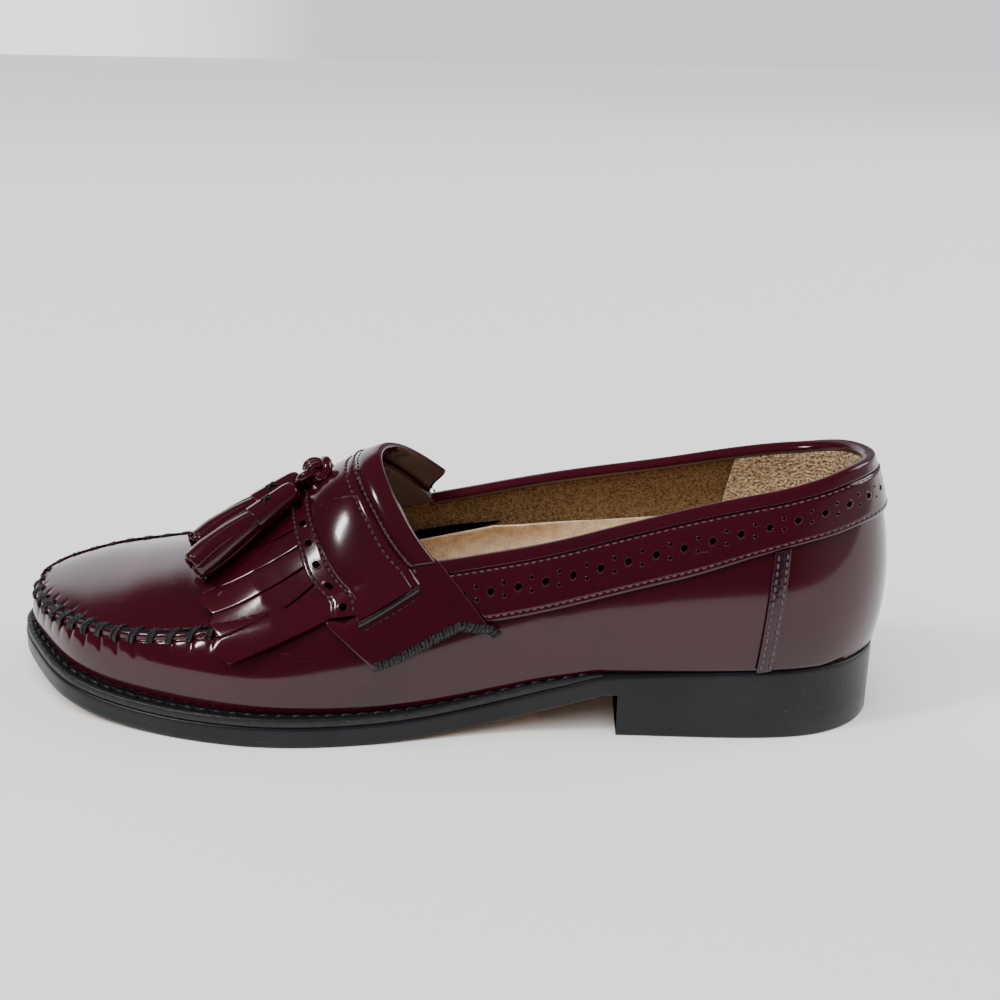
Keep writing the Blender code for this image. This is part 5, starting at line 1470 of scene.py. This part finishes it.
# %% Fringe strips
STRIPS, ALONG_STRIP, ACROSS_STRIP, FRINGE_LIFT = len(slits) - 1, 48, 15, 0.0017
u, v = np.linspace(0, 1, ALONG_STRIP)[None, :, None], np.linspace(0, 1, ACROSS_STRIP)[None, None, :]
half_slit = 0.00038 / 0.165
rear_low, front_low, tip_low = slits[:-1].T[:, :, None, None]
rear_high, front_high, tip_high = slits[1:].T[:, :, None, None]
side_low = rear_low + (front_low - rear_low) * u + half_slit
side_high = rear_high + (front_high - rear_high) * u - half_slit
across = side_low + (side_high - side_low) * v
point = np.clip(1 - np.abs(2 * v - 1), 0, 1)
tip = row_at(tip_low + (tip_high - tip_low) * v + 0.0026 / LENGTH * 1.15 * np.minimum(point * 1.15, 1))
t_grid = brogue_t + (tip - brogue_t) * u - set_back(across) * (1 - u)
curl = np.interp(u, (0, 0.25, 0.5, 0.75, 1), (0, 0.6, 1.0, 1.0, 1.05))
dish = 0.00045 * (2 * v - 1) ** 2 * np.clip(u * 3, 0, 1)
lift = BAND_FACE + FRINGE_LIFT * curl * (0.55 + 0.45 * np.clip(u * 2, 0, 1)) - 0.2 * dish - 0.0006 * (1 - u) ** 2
strip_tilt = 0.0005 * (v - 0.5) * np.clip(u * 2, 0, 1)
points = on_skin(t_grid, across, lift + strip_tilt)
faces = repeat_faces(grid_faces(ALONG_STRIP, ACROSS_STRIP)[:, ::-1], ALONG_STRIP * ACROSS_STRIP, STRIPS)
uv = np.broadcast_to(pair(v, u), t_grid.shape + (2,))
fringe = link_mesh("kiltie_fringe", points, faces, leather, uv)
leather_edges(fringe, TRIM_LEATHER, 0.00022, side=-1)
dress(fringe, "leather")
line_across = np.linspace(slits[0, 0] + 0.004, slits[-1, 0] - 0.004, 600)
lines = [line_with_normals(on_skin, band_t0 + (brogue_t - band_t0) * row - set_back(line_across), line_across,
                           BAND_FACE + 0.0009) for row in KILTIE_ROWS]
dress(stitch_row("kiltie_stitches", lines, pitch=0.0023, thickness=0.00085, material=row_thread), "leather")
print("fringe strips:", STRIPS)

# %% [markdown]
# ## Knot and tassels
# The tassels hang from a leather cord tied over the strap. The cord is round, so it is a circle carried along a path:
# a trefoil for the tie, and one more end that points to the outer side. A tassel is a sheet of leather slit into a
# fringe, rolled up and bound: the cap is the rolled part, with its overlapping edge, and the strips hang out of it.

# %% Knot
CORD, KNOT_WIDTH = 0.0033, 0.0168
knot_t = row_at(0.5645)
knot_foot = on_skin(knot_t, 0.495)
above = unit(on_skin(knot_t, 0.495, 1.0) - knot_foot)
ahead = unit(on_skin(knot_t + 0.01, 0.495) - on_skin(knot_t - 0.01, 0.495))
outward = np.cross(above, ahead)
knot_centre = knot_foot + above * (GAP + STRAP_THICKNESS + GAP + CORD + GAP)


def tube(name, path, radius, material, closed=False, corners=16, guide=None):
    """Circle of the given radius carried along a path; its frame is (side, over) square to the slope. The guide is
    a direction that the path never takes."""
    slope = np.roll(path, -1, 0) - np.roll(path, 1, 0) if closed else np.gradient(path, axis=0)
    slope = unit(slope)
    side = unit(np.cross(slope, above + 0.001 * ahead if guide is None else guide))
    over = np.cross(side, slope)
    angle = 2 * math.pi * np.arange(corners) / corners
    radius = np.broadcast_to(radius, len(path))[:, None, None]
    rings = path[:, None] + radius * (side[:, None] * np.cos(angle)[:, None] + over[:, None] * np.sin(angle)[:, None])
    if closed:
        return point_outwards(sheet_piece(name, rings, material, None, close_rows=True, close_columns=True))
    return swept_body(name, rings, material)


def knot_point(x, y, z):
    """Point by the knot's own axes: ahead, sideways to the outer side, and above."""
    x, y, z = (np.asarray(value)[..., None] for value in (x, y, z))
    return knot_centre + ahead * x + outward * y + above * z


a = 2 * math.pi * np.arange(220) / 220
scale = (KNOT_WIDTH - CORD) / 6
loop_across = scale * (np.sin(a) + 2 * np.sin(2 * a))
loop_along = scale * (np.cos(a) - 2 * np.cos(2 * a))
turn = math.radians(-9)
path = knot_point(loop_across * math.cos(turn) - loop_along * math.sin(turn),
                  loop_across * math.sin(turn) + loop_along * math.cos(turn), -(CORD + 2 * GAP) / 2 * np.sin(3 * a))
dress(tube("tassel_knot_cord", path, CORD / 2, leather, closed=True), "leather", "tassel_knot")
# the cord's end hangs out to the outer side, with two and a half turns of cord round its root
root, tip = knot_point(0.0008, -0.0026, 0.0014), knot_point(-0.0026, 0.0072, -0.0014)
share = np.linspace(0, 1, 24)
end_radius = 0.0019 * np.sqrt(np.clip(1 - np.clip((share - 0.86) / 0.14, 0, 1) ** 2, 0.02, 1))
dress(tube("tassel_knot_end", root + (tip - root) * share[:, None], end_radius, leather), "leather")
TURNS, TURN_RADIUS, THIN_CORD = 2.5, 0.0030, 0.0022
line = unit(tip - root)
beside = unit(np.cross(line, above))
over_it = np.cross(beside, line)
share = np.linspace(0, 1, 140)
turned = 2 * math.pi * TURNS * share[:, None] + 0.5
ring = TURN_RADIUS * (beside * np.cos(turned) + over_it * np.sin(turned))
path = root + line * (0.0002 + 0.0056 * share[:, None]) + ring
dress(tube("tassel_knot_turns", path, THIN_CORD / 2, leather, corners=12, guide=line), "leather")
print("knot at", np.round(knot_centre, 4).tolist(), "outward", np.round(outward, 2).tolist())

# %% Tassels: axes and places round them
TASSEL_LENGTH, CAP_SHARE, FLATNESS = 0.042, 0.42, 0.86
# name, turn from straight ahead in degrees, and where the far end lies: along, across and its lift
TASSELS = (("outer", 35, 0.744, 0.315, 0.0110), ("inner", -33, 0.750, 0.376, 0.0105))


def tassel_axes(degrees, end_along, end_across, end_lift):
    """Start of a tassel at the knot's edge, and its axes: along it, to its side and over it."""
    direction = ahead * math.cos(math.radians(degrees)) + outward * math.sin(math.radians(degrees))
    start = knot_centre + direction * (KNOT_WIDTH / 2 + 2 * GAP)
    axis = unit(on_skin(row_at(end_along), end_across, end_lift) - start)
    side = unit(np.cross(axis, above))
    return start, axis, side, np.cross(side, axis)


def around(axes, angle, radius):
    """Steps from the axis at an angle round it: an ellipse a little flatter than a circle."""
    _, _, side, over = axes
    angle, radius = np.asarray(angle)[..., None], np.asarray(radius)[..., None]
    return (side * np.cos(angle) + over * FLATNESS * np.sin(angle)) * radius


# %% Tassel caps
# a cap is a rolled sheet, so its radius drops by a step where the outer edge ends
CAP_ALONG = np.array([0.0, 0.01, 0.03, 0.07, 0.15, 0.25, 0.34, CAP_SHARE - 0.008, CAP_SHARE, CAP_SHARE])
CAP_RADIUS = np.array([0.0024, 0.0033, 0.0038, 0.0041, 0.0044, 0.0047, 0.0050, 0.0052, 0.00512, 0.0036])
cap_angle = 2 * math.pi * np.arange(64) / 64
step = 0.0005 * np.mod(cap_angle - 1.9, 2 * math.pi) / (2 * math.pi)
ring_radius = CAP_RADIUS[:, None] + step[None] * np.clip(CAP_ALONG[:, None] * 20, 0, 1)


def tassel_cap(name, axes):
    """Cap of a tassel: rings of these radii along its axis."""
    rings = axes[0] + axes[1] * (CAP_ALONG * TASSEL_LENGTH)[:, None, None] + around(axes, cap_angle, ring_radius)
    dress(swept_body("tassel_cap_" + name, rings, leather), "leather", "tassel_" + name)


print("cap: %.1f mm wide at most" % (2000 * ring_radius.max()))

# %% Tassel strips
# curved ribbons in two layers, which leave the cap and fan out a little
STRIP_COUNT, OUTER_STRIPS, ALONG_RIBBON = 15, 8, 16
number = np.arange(STRIP_COUNT)
outer_layer, inner_strips = number < OUTER_STRIPS, STRIP_COUNT - OUTER_STRIPS
even_angle = 2 * math.pi * np.where(outer_layer, (number + 0.35) / OUTER_STRIPS, (number + 0.8) / inner_strips)
down_strip = np.linspace(0, 1, ALONG_RIBBON)
# section of a ribbon: shares of its half width and of its half thickness, round its edge
ACROSS_RIBBON = np.array([1.0, 0.94, 0.5, 0.0, -0.5, -0.94, -1.0, -1.0, -0.94, -0.5, 0.0, 0.5, 0.94, 1.0])
THROUGH_RIBBON = np.array([0.5, 1, 1, 1, 1, 1, 0.5, -0.5, -1, -1, -1, -1, -1, -0.5])
half_width, half_thickness = 0.00195 * np.interp(down_strip, (0, 0.2, 1), (0.85, 1.0, 1.08)), 0.0005
shift = half_width[None, :, None] * ACROSS_RIBBON


def tassel_strips(name, axes):
    """Strips of a tassel in one mesh: each is a ribbon whose section bends round the axis."""
    strip_angle = even_angle + rng.uniform(-0.1, 0.1, STRIP_COUNT)
    longer = rng.uniform(-0.0016, 0.0012, STRIP_COUNT)[:, None] * down_strip
    spread = np.interp(down_strip, (0, 0.12, 0.35, 0.75, 1), (0.0040, 0.0047, 0.0054, 0.0058, 0.0052))[None]
    spread = spread * np.where(outer_layer, 1.0, 0.72)[:, None] * rng.uniform(0.94, 1.06, STRIP_COUNT)[:, None]
    reach = (CAP_SHARE - 0.03 + (1.03 - CAP_SHARE) * down_strip) * TASSEL_LENGTH + longer
    twisted = strip_angle[:, None] + 0.12 * np.sin(4 * down_strip + strip_angle[:, None])
    centre = axes[0] + axes[1] * reach[..., None] + around(axes, twisted, spread)
    radial = unit(around(axes, strip_angle, 1.0))[:, None]
    tangent = np.cross(axes[1], radial)
    curve = THROUGH_RIBBON * half_thickness - shift ** 2 / (2 * spread[..., None])
    rings = centre[:, :, None] + tangent[:, :, None] * shift[..., None] + radial[:, :, None] * curve[..., None]
    ends = rings * 0.02 + rings.mean(2, keepdims=True) * 0.98
    rings = np.concatenate([ends[:, :1], rings, ends[:, -1:]], 1)
    one = grid_faces(ALONG_RIBBON + 2, len(ACROSS_RIBBON), close_columns=True)
    faces = repeat_faces(one, (ALONG_RIBBON + 2) * len(ACROSS_RIBBON), STRIP_COUNT)
    dress(point_outwards(link_mesh("tassel_strips_" + name, rings, faces, leather)), "leather")


print("strips:", OUTER_STRIPS, "outside and", inner_strips, "inside")

# %% Crossed stitches of the caps, and both tassels
# two stitches hold the roll of a cap shut
STITCH_ANGLE, STITCH_ALONG, STITCH_RADIUS = 1.95, 0.0105, 0.0004


def tassel_stitches(name, axes):
    """Two crossed stitches on a cap."""
    spot = axes[0] + axes[1] * STITCH_ALONG + around(axes, STITCH_ANGLE, 0.0050)
    up = unit(around(axes, STITCH_ANGLE, 1.0))
    beside = np.cross(axes[1], up)
    anchors = np.array([[spot + axes[1] * x + beside * (x * lean) + up * z for x, z in
                         ((-0.0017, -0.0006), (-0.0012, 0.0002), (0.0, 0.0005), (0.0012, 0.0002), (0.0017, -0.0006))]
                        for lean in (-0.7, 0.7)])
    threads, ups = through(anchors, 11), np.stack([beside, beside])
    crossed = thread_mesh("tassel_stitch_" + name, threads, STITCH_RADIUS * rounded_ends(11), ups, black_thread)
    dress(crossed, "leather")


for name, *way in TASSELS:
    axes = tassel_axes(*way)
    tassel_cap(name, axes)
    tassel_strips(name, axes)
    tassel_stitches(name, axes)
print("tassels:", len(TASSELS))
